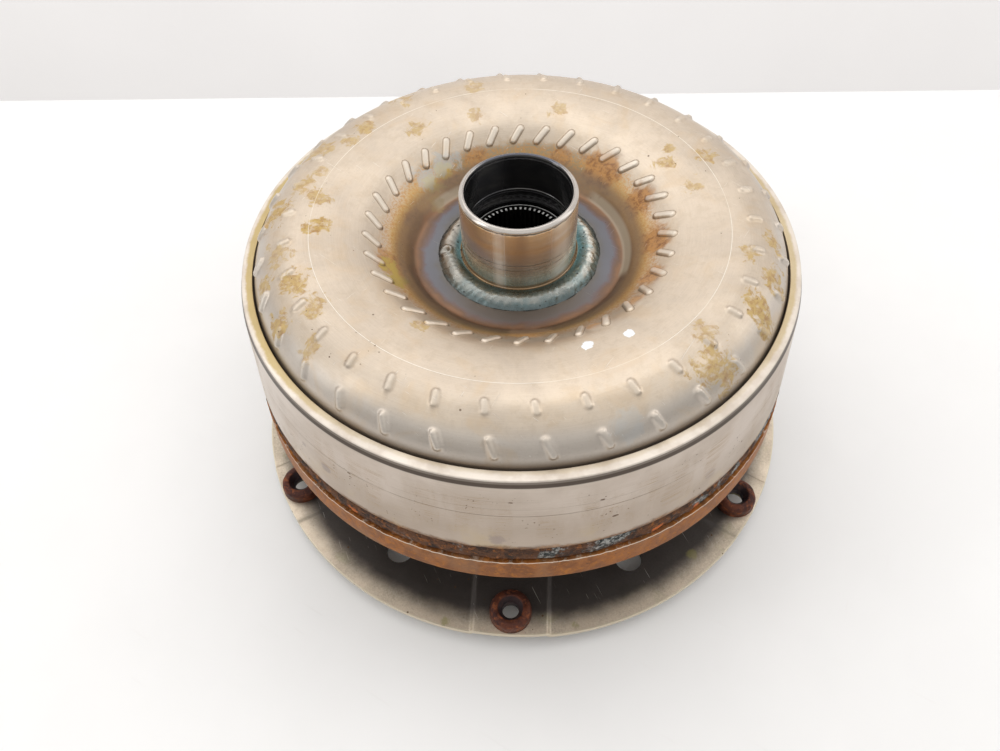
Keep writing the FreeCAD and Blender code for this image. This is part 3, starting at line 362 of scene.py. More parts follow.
wide = make.wandering(radius, make.noise(mm, 0.07, 5.0, 0.6, 0.5), 9.0)
RINGS = [
    (33.0, colour(0.10, 0.17, 0.19)), (39.8, colour(0.10, 0.19, 0.25)), (42.4, colour(0.12, 0.25, 0.40)),
    (45.4, colour(0.14, 0.27, 0.45)), (47.2, colour(0.16, 0.12, 0.20)), (48.8, colour(0.17, 0.055, 0.03)),
    (51.2, colour(0.46, 0.16, 0.03)), (53.4, colour(0.38, 0.19, 0.07)), (57.0, colour(0.64, 0.35, 0.09)),
    (62.0, colour(0.58, 0.38, 0.15)), (67.5, colour(0.62, 0.50, 0.37))]
RING_LOW, RING_HIGH = RINGS[0][0], RINGS[-1][0]
across = make.put("ShaderNodeMapRange", {0: wide, 1: RING_LOW, 2: RING_HIGH})
heat = make.put("ShaderNodeValToRGB", {0: across})
ramp = heat.node.color_ramp
while len(ramp.elements) < len(RINGS):
    ramp.elements.new(0.5)
for element, (ring_radius, ring_colour) in zip(ramp.elements, RINGS):
    element.position = (ring_radius - RING_LOW) / (RING_HIGH - RING_LOW)
    element.color = ring_colour
heated = make.times(make.rise(wide, RING_HIGH + 1.0, RING_HIGH - 5.0), 0.96)
# painted shade: the blue heat ring is darkened on the front side
from_front = make.apart(at["Angle"], -85.0)
front_ring_shade = make.times(make.rise(from_front, 75.0, 30.0), make.band(wide, 36.0, 46.5, 2.0))
heat = make.blend(make.times(front_ring_shade, 0.75), heat, colour(0.055, 0.095, 0.115))
steel = make.blend(heated, steel, heat)
slope_belt = make.band(wide, 54.0, 68.0, 2.5)
# painted shade: the rusty slope is darkened on the far side of the bowl
from_back = make.apart(at["Angle"], 92.0)
back_slope_shade = make.times(make.rise(from_back, 75.0, 25.0), slope_belt)
steel = make.blend(make.times(back_slope_shade, 0.72), steel, colour(0.20, 0.17, 0.11))
speckled = make.rise(make.noise(mm, 0.85, 7.0, 0.75), 0.44, 0.58)
steel = make.blend(make.times(make.times(speckled, slope_belt), 0.65), steel, colour(0.52, 0.25, 0.07))
# painted highlight: two bright cream arcs on the fillet at the foot of the slope
highlight_turns = make.most(make.band(at["Angle"], 126.0, 146.0, 3.0), make.band(at["Angle"], -18.0, 47.0, 4.0))
fillet_highlight = make.times(highlight_turns, make.band(radius, 51.2, 55.0, 0.8))
steel = make.blend(make.times(fillet_highlight, 0.85), steel, colour(1.0, 0.86, 0.62))
rusty = stains(make, mm, [(50, 64, 145, 14, 0.8), (23, 65, 146, 11, 0.9), (-3, 66, 147, 11, 0.9),
                          (-25, 70, 149, 9, 0.8), (-40, 73, 151, 7, 0.7), (-59, 72, 151, 7, 0.7),
                          (163, 56, 140, 8, 0.7), (130, 58, 142, 8, 0.6), (72, 62, 145, 8, 0.6),
                          (113, 62, 145, 8, 0.6), (200, 63, 146, 11, 0.7), (-84, 57, 141, 12, 0.6)])
mossy = stains(make, mm, [(-151, 64, 146, 7, 0.8), (-158, 64, 146, 7, 0.8), (140, 60, 143, 6, 0.7),
                          (130, 62, 145, 6, 0.6), (144, 53, 138, 5, 0.5)], 3.4)
hazy = stains(make, mm, [(141, 64, 146, 8, 0.45), (128, 66, 147, 8, 0.45)], 3.6)
rust = make.blend(mottle, colour(0.50, 0.25, 0.08), colour(0.24, 0.095, 0.03))
steel = make.blend(make.times(rusty, make.band(wide, 54.5, 72.0, 2.5)), steel, rust)
steel = make.blend(mossy, steel, colour(0.50, 0.38, 0.09))
steel = make.blend(hazy, steel, colour(0.42, 0.47, 0.50))

rib = make.put("ShaderNodeAttribute", output=2, attribute_name="rib")
inner_rib = make.put("ShaderNodeAttribute", output=2, attribute_name="inner_rib")
rib_top, inner_rib_top = make.rise(rib, 0.45, 0.95), make.rise(inner_rib, 0.45, 0.95)
lit_ribs = make.plus(make.times(rib_top, 0.2), make.times(inner_rib_top, 0.25))
steel = make.blend(lit_ribs, steel, colour(0.84, 0.78, 0.69))
# painted shade round the foot of the inner ribs
steel = make.blend(make.times(make.band(inner_rib, 0.04, 0.3, 0.04), 0.6), steel, colour(0.20, 0.14, 0.09))
scribed = make.band(radius, SCRIBE - 0.12, SCRIBE + 0.12, 0.14)
scribed = make.times(scribed, make.rise(cloud, 0.38, 0.5, 0.45, 1.0))
steel = make.blend(make.times(scribed, 0.85), steel, colour(0.92, 0.88, 0.80))
dots = make.group("pits", Place=mm, Spacing=7.0, Size=0.55, Share=0.5)["Mask"]
grit = make.group("pits", Place=mm, Spacing=2.4, Size=0.42, Share=0.34)["Mask"]
gritty = make.times(grit, make.most(drops, make.times(rusty, 0.9), make.rise(cloud, 0.52, 0.62)))
dark = make.most(make.times(dots, 0.8), gritty)
steel = make.blend(make.times(dark, 0.85), steel, colour(0.10, 0.05, 0.025))
lines_one = make.group("hairlines", Place=mm, Turn=0.6, Length=16.0, Share=0.10)["Mask"]
lines_two = make.group("hairlines", Place=mm, Turn=2.1, Length=11.0, Share=0.09)["Mask"]
scratched = make.most(lines_one, lines_two)
steel = make.blend(make.times(scratched, 0.35), steel, colour(0.90, 0.88, 0.84))
blued = stains(make, mm, [(-67, 123, 151, 9, 0.3)])
steel = make.blend(blued, steel, colour(0.50, 0.56, 0.60))
dab = stains(make, mm, [(-67.5, 83, 157, 3.4, 1.0), (-55.0, 86, 157, 3.0, 1.0)])
dabbed = make.rise(dab, 0.3, 0.55)
steel = make.blend(dabbed, steel, colour(0.88, 0.90, 0.93))
# darker below 145 mm, towards the dome's lowest parts
low_darkening = make.times(make.rise(height, 145.5, 141.0), 0.75)
steel = make.blend(low_darkening, steel, colour(0.16, 0.12, 0.09))
rough = make.rise(cloud, 0.3, 0.7, 0.33, 0.45)
rough = make.plus(rough, make.times(make.most(stained, make.times(rusty, 0.8), make.times(dark, 0.6)), 0.28))
rough = make.plus(rough, make.times(dabbed, 0.2))
# stains, rust, paint and the painted highlight arcs lower the metallic
stained_or_highlit = make.most(make.times(stained, 0.6), make.times(rusty, 0.7), dabbed, make.times(fillet_highlight, 0.8))
metal = make.math("SUBTRACT", 0.82, make.times(stained_or_highlit, 0.75))
relief = make.plus(make.times(brushed, 0.35), make.times(grain, 0.22))
relief = make.plus(relief, make.times(make.most(dark, scratched), -0.5))
relief = make.plus(relief, make.times(scribed, -0.6))
end_material(make, steel, rough, metal, relief, 0.10)
print("dome_steel:", len(make.tree.nodes), "nodes")

# %% [markdown]
# ## The hub's finish
#
# The hub runs in an oil-pump bush, so it is ground and polished, with bands of bronze where old oil
# baked on. Upright dark and bright bands at fixed angles and one thin bright streak are painted
# reflections, and the back of the rim gets painted shade. A few dark rings show where the seal's lip
# ran. Its bore was never polished and is wet with black oil. Below the rim the turned lip ends in a
# ragged dark line.

# %% Polished hub
make, at = start_material("hub_bronze_grey")
radius, height, mm = at["Radius"], at["Height"], at["Millimetres"]
turned = streaks(make, at, height, 1.2, 2.6)
polish = streaks(make, at, height, 3.0, 9.0)
bronze = make.noise(make.scaled(mm, (0.035, 0.035, 0.11)), 1.0, 4.0, 0.55, 0.6)
ground = make.blend(make.rise(turned, 0.35, 0.65), colour(0.90, 0.81, 0.68), colour(0.72, 0.62, 0.50))
angle = at["Angle"]
# painted reflections: upright dark and bright bands at fixed angles round the hub
painted_dark_bands = make.most(make.band(angle, -96.0, -80.0, 6.0), make.band(angle, -160.0, -122.0, 8.0),
                       make.band(angle, 20.0, 60.0, 12.0))
painted_bright_bands = make.most(make.band(angle, -112.0, -102.0, 4.0), make.band(angle, -54.0, -30.0, 9.0),
                         make.band(angle, 110.0, 150.0, 12.0))
ground = make.blend(make.times(painted_dark_bands, 0.6), ground, colour(0.50, 0.37, 0.26))
ground = make.blend(make.times(painted_bright_bands, 0.8), ground, colour(1.0, 0.95, 0.87))
ground = make.blend(make.times(make.rise(bronze, 0.44, 0.62), 0.4), ground, colour(0.76, 0.54, 0.32))
belt = make.times(make.band(height, 159.5, 163.0, 1.2), 0.45)
ground = make.blend(belt, ground, colour(0.85, 0.58, 0.30))
# painted highlight: one thin upright bright streak on the front
highlight_streak = make.band(at["Angle"], -101.6, -100.9, 0.35)
ground = make.blend(make.times(highlight_streak, 0.8), ground, colour(0.98, 0.94, 0.88))
violet = make.noise(make.scaled(mm, (0.05, 0.05, 0.06)), 1.0, 3.0, 0.5, 0.4)
ground = make.blend(make.times(make.rise(violet, 0.55, 0.7), 0.35), ground, colour(0.60, 0.51, 0.52))
ragged = make.wandering(height, make.noise(mm, 0.55, 4.0, 0.7), 1.6)
lip_line = make.band(ragged, HUB_TOP - 2.5, HUB_TOP - 1.8, 0.25)
seal_rings = make.most(make.band(height, 151.9, 152.4, 0.14), make.band(height, 149.0, 149.4, 0.12),
                       make.times(make.band(height, 145.5, 145.7, 0.1), 0.6))
broken = make.rise(make.noise(mm, 0.12, 3.0, 0.6), 0.3, 0.48, 0.25, 1.0)
marks = make.most(make.times(lip_line, 0.95), make.times(seal_rings, broken))
ground = make.blend(make.times(marks, 0.85), ground, colour(0.045, 0.035, 0.03))
rim_mask = make.rise(height, HUB_TOP - 1.7, HUB_TOP - 1.3)
ground = make.blend(rim_mask, ground, colour(0.56, 0.52, 0.48))
# painted shade: the rim's top is darkened to dark blue on the far side
rim_back_shade = make.times(rim_mask, make.rise(make.apart(angle, 90.0), 70.0, 35.0))
ground = make.blend(make.times(rim_back_shade, 0.85), ground, colour(0.07, 0.08, 0.12))
base_oil = make.times(make.rise(height, 140.2, 137.9), 0.75)
ground = make.blend(base_oil, ground, colour(0.24, 0.14, 0.055))
flange_heat = make.blend(make.rise(bronze, 0.4, 0.6), colour(0.05, 0.13, 0.16), colour(0.13, 0.20, 0.20))
ground = make.blend(make.rise(radius, 28.3, 28.8), ground, flange_heat)
in_bore = make.rise(radius, 26.4, 25.9)
oil = make.blend(make.rise(bronze, 0.35, 0.7), colour(0.06, 0.06, 0.065), colour(0.11, 0.105, 0.10))
ground = make.blend(make.times(in_bore, make.rise(height, HUB_TOP - 0.15, HUB_TOP - 0.5)), ground, oil)
rough = make.plus(make.rise(polish, 0.35, 0.65, 0.13, 0.24), make.times(marks, 0.35))
rough = make.plus(rough, make.times(base_oil, 0.15))
relief = make.plus(make.times(polish, 0.30), make.plus(make.times(turned, 0.25), make.times(marks, -0.9)))
metal = make.math("SUBTRACT", 0.86, make.plus(make.times(marks, 0.4), make.times(painted_bright_bands, 0.34)))
end_material(make, ground, rough, metal, relief, 0.04,
             Tangent=make.put("ShaderNodeTangent", direction_type="RADIAL", axis="Z"),
             Anisotropic=0.75, Anisotropic_Rotation=0.25)
print("hub_bronze_grey:", len(make.tree.nodes), "nodes")

# %% [markdown]
# ## The weld beads and the rust
#
# The bead round the hub was wire-brushed: it glints silver on its ridges and is blue-green in its
# hollows. The weld between drum and cover was left raw, so it is gritty rust in three browns, with
# slaggy patches that still look like dark metal. Both come from layered noise cut at several levels.

# %% Hub weld bead
make, at = start_material("weld_bead")
mm = at["Millimetres"]
lump = make.noise(mm, 0.28, 5.0, 0.6, 1.2)
sheen = make.noise(mm, 0.09, 3.0, 0.5, 0.5)
crest = make.band(make.wandering(at["Radius"], lump, 4.0), 34.2, 37.4, 1.1)
bead = make.blend(crest, colour(0.19, 0.24, 0.235), colour(0.62, 0.61, 0.55))
bead = make.blend(make.times(make.rise(lump, 0.52, 0.68), 0.5), bead, colour(0.30, 0.32, 0.29))
bead = make.blend(make.times(make.rise(sheen, 0.5, 0.66), 0.45), bead, colour(0.16, 0.29, 0.31))
brown_side = make.rise(make.apart(make.math("ABSOLUTE", at["Angle"]), 176.0), 62.0, 18.0)
bead = make.blend(make.times(brown_side, 0.55), bead, colour(0.25, 0.19, 0.15))
valley = make.rise(at["Radius"], 33.2, 30.2)
bead = make.blend(make.times(valley, 0.85), bead, colour(0.05, 0.12, 0.13))
edge_heat = make.rise(at["Radius"], 38.2, 39.7)
bead = make.blend(make.times(edge_heat, 0.8), bead, colour(0.10, 0.12, 0.12))
# painted shade: the bead is darkened on the side that faces the camera
bead_front_shade = make.rise(make.apart(at["Angle"], -88.0), 80.0, 30.0)
bead = make.blend(make.times(bead_front_shade, 0.62), bead, colour(0.10, 0.125, 0.13))
golden = make.rise(at["Radius"], 29.1, 28.7)
bead = make.blend(make.times(golden, 0.85), bead, colour(0.30, 0.18, 0.07))
soot = make.group("pits", Place=mm, Spacing=2.6, Size=0.6, Share=0.4)["Mask"]
bead = make.blend(make.times(soot, 0.8), bead, colour(0.03, 0.025, 0.02))
rough = make.plus(make.rise(lump, 0.35, 0.65, 0.42, 0.22), make.times(soot, 0.3))
relief = make.plus(make.noise(mm, 0.9, 4.0, 0.6, 0.8), make.times(lump, 0.8))
end_material(make, bead, rough, 0.95, relief, 0.12)
print("weld_bead:", len(make.tree.nodes), "nodes")


# %% Rust, as three browns in one function
def rust_colours(recipe, place, dark, middle, bright):
    """Layered rust: dark scale, middle brown, and bright powder on top. Returns colour and powder mask."""
    layer = recipe.noise(place, 0.11, 6.0, 0.68, 0.7)
    powder = recipe.rise(recipe.noise(place, 0.32, 7.0, 0.72, 0.4), 0.5, 0.64)
    brown = recipe.blend(recipe.rise(layer, 0.4, 0.6), dark, middle)
    return recipe.blend(recipe.times(powder, 0.85), brown, bright), powder


# %% Raw weld between drum and cover
make, at = start_material("weld_band")
mm, angle = at["Millimetres"], at["Angle"]
scale, powder = rust_colours(make, mm, colour(0.038, 0.02, 0.013), colour(0.13, 0.052, 0.021),
                             colour(0.36, 0.125, 0.028))
glassy = make.times(make.rise(make.noise(mm, 0.055, 4.0, 0.6, 0.5), 0.50, 0.60),
                    make.band(angle, -108.0, -20.0, 9.0))
slag = make.blend(make.rise(make.noise(mm, 0.5, 5.0, 0.65), 0.46, 0.62), colour(0.035, 0.04, 0.038),
                  colour(0.42, 0.42, 0.40))
scale = make.blend(glassy, scale, slag)
pale = make.rise(make.noise(mm, 0.7, 5.0, 0.7), 0.60, 0.72)
scale = make.blend(make.times(pale, 0.28), scale, colour(0.50, 0.36, 0.22))
seam = make.rise(at["Height"], DRUM_FOOT + 0.2, DRUM_FOOT + 1.4)
scale = make.blend(make.times(seam, 0.8), scale, colour(0.025, 0.015, 0.012))
ember = stains(make, mm, [(-52, 140, 80, 3.2, 1.0), (-61, 140, 81, 3.6, 1.0), (-122, 140, 83, 3.5, 0.8)])
scale = make.blend(ember, scale, colour(0.62, 0.16, 0.03))
rough = make.math("SUBTRACT", 0.86, make.times(glassy, 0.55))
metal = make.plus(make.times(glassy, 0.7), 0.15)
relief = make.plus(make.noise(mm, 0.8, 7.0, 0.7, 0.4), make.times(powder, 0.3))
end_material(make, scale, rough, metal, relief, 0.55)
print("weld_band:", len(make.tree.nodes), "nodes")

# %% Rusty rim of the front cover
make, at = start_material("rusty_rim")
mm, height = at["Millimetres"], at["Height"]
skin, powder = rust_colours(make, mm, colour(0.23, 0.08, 0.018), colour(0.35, 0.125, 0.025),
                            colour(0.48, 0.175, 0.026))
skin = make.blend(make.times(make.rise(make.noise(mm, 0.045, 3.0, 0.5), 0.5, 0.66), 0.4), skin,
                  colour(0.30, 0.17, 0.09))
torn = make.wandering(height, make.noise(mm, 0.35, 4.0, 0.7), 1.3)
lip = make.band(torn, COVER_EDGE - 1.0, COVER_EDGE - 0.35, 0.22)
skin = make.blend(make.times(lip, 0.9), skin, colour(0.80, 0.72, 0.60))
low_edge = make.band(height, 60.0, 62.0, 0.8)
skin = make.blend(make.times(low_edge, 0.55), skin, colour(0.55, 0.42, 0.29))
# painted shade: the cover below the rim, under the drum, is made nearly black
under = make.rise(height, 60.8, 60.4)
skin = make.blend(make.times(under, 0.9), skin, colour(0.075, 0.06, 0.055))
holes = make.group("pits", Place=mm, Spacing=2.2, Size=0.45, Share=0.4)["Mask"]
skin = make.blend(make.times(holes, 0.7), skin, colour(0.10, 0.04, 0.02))
rough = make.math("SUBTRACT", make.rise(powder, 0.0, 1.0, 0.52, 0.72), make.times(lip, 0.2))
relief = make.plus(make.noise(mm, 0.7, 6.0, 0.65), make.times(holes, -0.5))
end_material(make, skin, rough, make.rise(powder, 0.0, 1.0, 0.55, 0.2), relief, 0.12)
print("rusty_rim:", len(make.tree.nodes), "nodes")

# %% [markdown]
# ## The drum's finish
#
# The drum was turned on a lathe. Its shoulder is still bright, the bevel under it gets painted shade,
# and the wall is pale grey with brown streaks that follow the tool marks. Pits sit in clusters, and
# rust creeps up from the weld. Masks by height keep each of these where it belongs.

# %% Drum
make, at = start_material("drum_grey")
radius, height, mm, angle = at["Radius"], at["Height"], at["Millimetres"], at["Angle"]
tool = streaks(make, at, height, 2.5, 1.5)
fine_tool = streaks(make, at, height, 7.0, 4.5)
cloud = make.noise(mm, 0.03, 4.0, 0.55, 0.3)
wall = make.blend(make.rise(cloud, 0.38, 0.62), colour(0.69, 0.61, 0.545), colour(0.57, 0.495, 0.43))
wall = make.blend(make.times(make.rise(fine_tool, 0.4, 0.66), 0.35), wall, colour(0.82, 0.765, 0.70))
belt = make.band(height, 100.0, 130.0, 5.0)
front = make.rise(make.apart(angle, -78.0), 75.0, 38.0, 0.25, 1.0)
# painted shade: the front of the wall, which faces the camera, is darkened and browned
wall = make.blend(make.times(front, 0.45), wall, colour(0.48, 0.385, 0.30))
# darker and browner towards the bottom of the front
darker_low_front = make.times(make.rise(height, 122.0, 96.0), front)
wall = make.blend(make.times(darker_low_front, 0.4), wall, colour(0.36, 0.27, 0.19))
dashes = make.rise(make.noise(make.scaled(mm, (0.08, 0.08, 0.02)), 1.0, 5.0, 0.65, 0.3), 0.44, 0.6)
streaked = make.times(make.times(make.rise(fine_tool, 0.49, 0.62), dashes), make.times(belt, front))
wall = make.blend(make.times(streaked, 0.8), wall, colour(0.42, 0.29, 0.17))
rings = make.most(make.band(height, 116.4, 116.65, 0.13),
                  make.times(make.band(height, 121.8, 121.95, 0.1), 0.5),
                  make.times(make.band(height, 127.4, 127.5, 0.1), 0.45))
ringed = make.times(rings, make.rise(make.noise(mm, 0.03, 3.0, 0.6), 0.36, 0.5))
wall = make.blend(make.times(ringed, 0.85), wall, colour(0.16, 0.09, 0.045))
yellowed = make.rise(make.noise(mm, 0.045, 5.0, 0.6, 0.5), 0.5, 0.66)
yellowed = make.times(yellowed, make.rise(height, 112.0, 92.0))
wall = make.blend(make.times(yellowed, 0.55), wall, colour(0.56, 0.44, 0.26))
creep = make.wandering(height, make.noise(mm, 0.1, 6.0, 0.7, 0.6), 9.0)
rust_mask = make.rise(creep, 93.5, 89.5)
rust, powder = rust_colours(make, mm, colour(0.15, 0.07, 0.035), colour(0.30, 0.15, 0.06),
                            colour(0.45, 0.22, 0.07))
wall = make.blend(make.times(rust_mask, 0.92), wall, rust)
cluster = make.rise(make.noise(mm, 0.06, 4.0, 0.6, 0.5), 0.5, 0.62)
pits_small = make.group("pits", Place=mm, Spacing=1.6, Size=0.42, Share=0.5)["Mask"]
flattened = make.scaled(mm, (1.0, 1.0, 2.2))
pits_wide = make.group("pits", Place=flattened, Spacing=6.5, Size=1.6, Share=0.35)["Mask"]
pitted = make.most(make.times(pits_small, make.times(cluster, make.rise(height, 138.0, 126.0))),
                   make.times(pits_wide, make.times(make.rise(cluster, 0.2, 0.9), belt)))
wall = make.blend(make.times(pitted, 0.85), wall, colour(0.13, 0.07, 0.035))
smudge = stains(make, mm, [(-127, 138.5, 106, 3.6, 0.75), (-92, 139, 98, 4.6, 0.75),
                           (-133, 138, 110, 2.0, 0.6), (-50, 138.5, 104, 4.0, 0.4)])
wall = make.blend(smudge, wall, colour(0.36, 0.29, 0.26))
# painted shade on the bevel under the shoulder, darkest on its lower part
bevel = make.times(make.band(height, DRUM_TOP - 3.9, DRUM_TOP - 0.45, 0.35), make.rise(radius, 134.2, 135.0))
bevel_shade_tone = make.blend(make.rise(height, DRUM_TOP - 2.0, DRUM_TOP - 1.4), colour(0.075, 0.055, 0.042),
                        colour(0.22, 0.185, 0.155))
wall = make.blend(make.times(bevel, 0.95), wall, bevel_shade_tone)
shoulder = make.times(make.rise(height, DRUM_TOP - 0.7, DRUM_TOP - 0.35), make.rise(radius, 129.4, 129.9))
top_ring = make.blend(make.rise(make.noise(mm, 0.08, 4.0, 0.6), 0.4, 0.66), colour(0.76, 0.69, 0.61),
                      colour(0.64, 0.56, 0.48))
wall = make.blend(shoulder, wall, top_ring)
inner_edge = make.wandering(radius, make.noise(mm, 0.12, 5.0, 0.65), 3.4)
side_stain = make.rise(make.apart(make.math("ABSOLUTE", angle), 172.0), 62.0, 24.0, 0.3, 1.0)
right_stain = make.rise(make.math("ABSOLUTE", angle), 55.0, 20.0)
side_stain = make.most(side_stain, make.times(right_stain, 0.75))
inner_edge = make.math("SUBTRACT", inner_edge, make.times(side_stain, 1.6))
yellow = make.times(make.rise(inner_edge, 132.4, 130.8), shoulder)
wall = make.blend(make.times(make.times(yellow, side_stain), 0.85), wall, colour(0.50, 0.37, 0.14))
rough = make.rise(cloud, 0.35, 0.65, 0.34, 0.46)
rough = make.plus(rough, make.times(shoulder, 0.06))
rough = make.plus(rough, make.times(make.most(rust_mask, pitted, make.times(streaked, 0.6)), 0.35))
metal = make.math("SUBTRACT", 0.72, make.times(make.most(rust_mask, make.times(streaked, 0.6), pitted), 0.55))
relief = make.plus(make.times(fine_tool, 0.35), make.times(tool, 0.25))
relief = make.plus(relief, make.times(make.most(pitted, ringed), -0.9))
relief = make.plus(relief, make.times(make.times(make.noise(mm, 0.8, 6.0, 0.7), rust_mask), 1.2))
end_material(make, wall, rough, metal, relief, 0.13)
print("drum_grey:", len(make.tree.nodes), "nodes")

# %% [markdown]
# ## The drive plate and its nuts
#
# The plate is thin zinc-plated sheet, gone dull and speckled, with a bright sheared edge. The six nuts
# welded to it were never plated, so they are red-brown all over.

# %% Zinc-plated sheet
make, at = start_material("zinc_plate")
mm, radius, height = at["Millimetres"], at["Radius"], at["Height"]
cloud = make.noise(mm, 0.03, 5.0, 0.6, 0.5)
speckle = make.noise(mm, 1.1, 6.0, 0.75)
sheet = make.blend(make.rise(cloud, 0.36, 0.64), colour(0.72, 0.61, 0.48), colour(0.55, 0.47, 0.37))
sheet = make.blend(make.times(make.rise(speckle, 0.45, 0.62), 0.5), sheet, colour(0.80, 0.72, 0.60))
sheet = make.blend(make.times(make.rise(speckle, 0.42, 0.3), 0.6), sheet, colour(0.22, 0.19, 0.15))
tinged = make.rise(make.noise(mm, 0.05, 3.0, 0.5, 0.8), 0.56, 0.7)
sheet = make.blend(make.times(tinged, 0.3), sheet, colour(0.42, 0.42, 0.20))
step = make.put("ShaderNodeAttribute", output=2, attribute_name="step")
# painted shade along the sloped borders of the pads
sheet = make.blend(make.times(make.band(step, 0.15, 0.75, 0.12), 0.3), sheet, colour(0.24, 0.20, 0.14))
cut_edge = make.rise(radius, PLATE_RADIUS - 0.9, PLATE_RADIUS - 0.35)
cut_edge = make.times(cut_edge, make.rise(cloud, 0.3, 0.5, 0.6, 1.0))
sheet = make.blend(cut_edge, sheet, colour(0.74, 0.66, 0.52))
# painted shadow: the plate is darkened where it lies under the drum, with a wandering edge
reach = make.wandering(radius, make.noise(mm, 0.08, 4.0, 0.6), 6.0)
drum_shadow = make.times(make.rise(reach, 149.0, 137.0), make.rise(radius, 60.0, 100.0))
sheet = make.blend(make.times(drum_shadow, 0.93), sheet, colour(0.045, 0.04, 0.042))
freckles = make.group("pits", Place=mm, Spacing=5.0, Size=0.6, Share=0.4)["Mask"]
sheet = make.blend(make.times(freckles, 0.8), sheet, colour(0.16, 0.09, 0.04))
ring_stain = stains(make, mm, [(-47, 140, 14.5, 4.0, 0.45), (-103, 149, 14.5, 3.5, 0.6),
                               (-77, 148, 14.5, 3.0, 0.5), (-150, 135, 14.5, 7.0, 0.35),
                               (-28, 141, 14.5, 6.0, 0.4)])
sheet = make.blend(ring_stain, sheet, colour(0.36, 0.33, 0.12))
scuffed = make.group("hairlines", Place=mm, Turn=1.1, Length=14.0, Share=0.12)["Mask"]
sheet = make.blend(make.times(scuffed, 0.35), sheet, colour(0.78, 0.75, 0.68))
rough = make.plus(make.rise(cloud, 0.35, 0.65, 0.42, 0.58), make.times(freckles, 0.2))
relief = make.plus(make.times(speckle, 0.5), make.times(freckles, -0.5))
end_material(make, sheet, rough, 0.85, relief, 0.09)
print("zinc_plate:", len(make.tree.nodes), "nodes")

# %% Rusty nuts
make, at = start_material("rusty_nut")
mm = at["Millimetres"]
skin, powder = rust_colours(make, mm, colour(0.05, 0.014, 0.010), colour(0.125, 0.033, 0.014),
                            colour(0.28, 0.08, 0.024))
# painted shade in the nut's bore and bevelled mouth
mouth_shade = make.put("ShaderNodeAttribute", output=2, attribute_name="bore")
skin = make.blend(make.times(mouth_shade, 0.8), skin, colour(0.03, 0.025, 0.03))
relief = make.noise(mm, 0.9, 7.0, 0.7, 0.3)
rough = make.rise(powder, 0.0, 1.0, 0.5, 0.8)
end_material(make, skin, rough, make.rise(powder, 0.0, 1.0, 0.45, 0.1), relief, 0.3)
print("rusty_nut:", len(make.tree.nodes), "nodes")

# %% [markdown]
# ## Finishes of the inner pieces
#
# The pieces inside never show in the picture, but whoever takes the converter apart sees them. They
# share one short function: two tones of the metal, hairlines, fine pits and a bump. Only the numbers
# differ between a ground race, a pressed plate, a casting, spring wire, the friction lining and a seal.

# %% Finishes of the inner pieces
INNER = {
    # slot: (light tone, dark tone, roughness, metallic, grain per mm, bump depth in mm)
    "plain_steel": (colour(0.46, 0.45, 0.44), colour(0.30, 0.28, 0.26), 0.42, 0.9, 0.5, 0.05),
    "black_bolt": (colour(0.055, 0.055, 0.06), colour(0.10, 0.085, 0.07), 0.45, 0.7, 0.8, 0.05),
    "machined_steel": (colour(0.62, 0.61, 0.60), colour(0.44, 0.42, 0.39), 0.28, 1.0, 0.4, 0.03),
    "oily_steel": (colour(0.10, 0.095, 0.09), colour(0.035, 0.03, 0.028), 0.2, 0.95, 0.3, 0.03),
    "bearing_steel": (colour(0.74, 0.74, 0.74), colour(0.60, 0.59, 0.58), 0.16, 1.0, 0.3, 0.01),
    "pressed_steel": (colour(0.52, 0.51, 0.49), colour(0.36, 0.34, 0.31), 0.38, 0.9, 0.35, 0.05),
    "cast_aluminium": (colour(0.72, 0.72, 0.71), colour(0.55, 0.55, 0.54), 0.5, 0.85, 1.1, 0.14),
    "spring_steel": (colour(0.12, 0.12, 0.125), colour(0.19, 0.16, 0.13), 0.33, 0.85, 0.7, 0.03),
    "friction_paper": (colour(0.30, 0.21, 0.13), colour(0.19, 0.12, 0.07), 0.9, 0.0, 1.6, 0.16),
    "seal_ring": (colour(0.10, 0.09, 0.08), colour(0.06, 0.055, 0.05), 0.55, 0.0, 0.6, 0.03),
}
RACE_TOP = size_of("clutch_inner_race")[2]
for name, (light, dark, rough, metal, grain, depth) in INNER.items():
    make, at = start_material(name)
    mm = at["Millimetres"]
    tone = make.noise(mm, 0.06, 5.0, 0.6, 0.4)
    fine = make.noise(mm, grain * 2, 6.0, 0.7)
    body = make.blend(make.rise(tone, 0.35, 0.65), light, dark)
    worn = make.group("hairlines", Place=mm, Turn=0.9, Length=9.0, Share=0.12)["Mask"]
    body = make.blend(make.times(worn, 0.3), body, light)
    body = make.blend(make.times(make.rise(fine, 0.55, 0.75), 0.35), body, dark)
    gloss = make.rise(tone, 0.3, 0.7, max(rough - 0.06, 0.05), rough + 0.08)
    if name == "oily_steel":
        # painted glints: bright tooth tips and top rim on the race, deep in the bore
        tooth = make.rise(make.math("COSINE", make.times(at["Angle"], 54 * math.pi / 180)), -0.1, -0.5)
        top = make.rise(at["Height"], RACE_TOP - 0.4, RACE_TOP - 0.1)
        tooth_glints = make.times(make.times(tooth, make.band(at["Radius"], 20.2, 21.7, 0.1)), top)
        rim_glint = make.times(make.rise(at["Radius"], 23.0, 23.2), top)
        bright = make.most(tooth_glints, make.times(rim_glint, 0.8))
        body = make.blend(bright, body, colour(0.92, 0.92, 0.90))
        metal = make.math("SUBTRACT", metal, make.times(bright, metal))
    end_material(make, body, gloss, metal, make.plus(fine, make.times(worn, -0.3)), depth)
print("inner finishes:", sorted(INNER))

# %% [markdown]
# ## Turning outlines into rings
#
# Almost everything is a ring, so one function does the turning: a closed outline in (radius, height)
# goes round the axis in many columns. Lift, a function of place, then raises or sinks the skin along
# its own normal, which is how ribs, weld ripples, tool grooves and dents are made as real shape. A
# Screw modifier could turn an outline too, but it can't vary the skin round the circle.

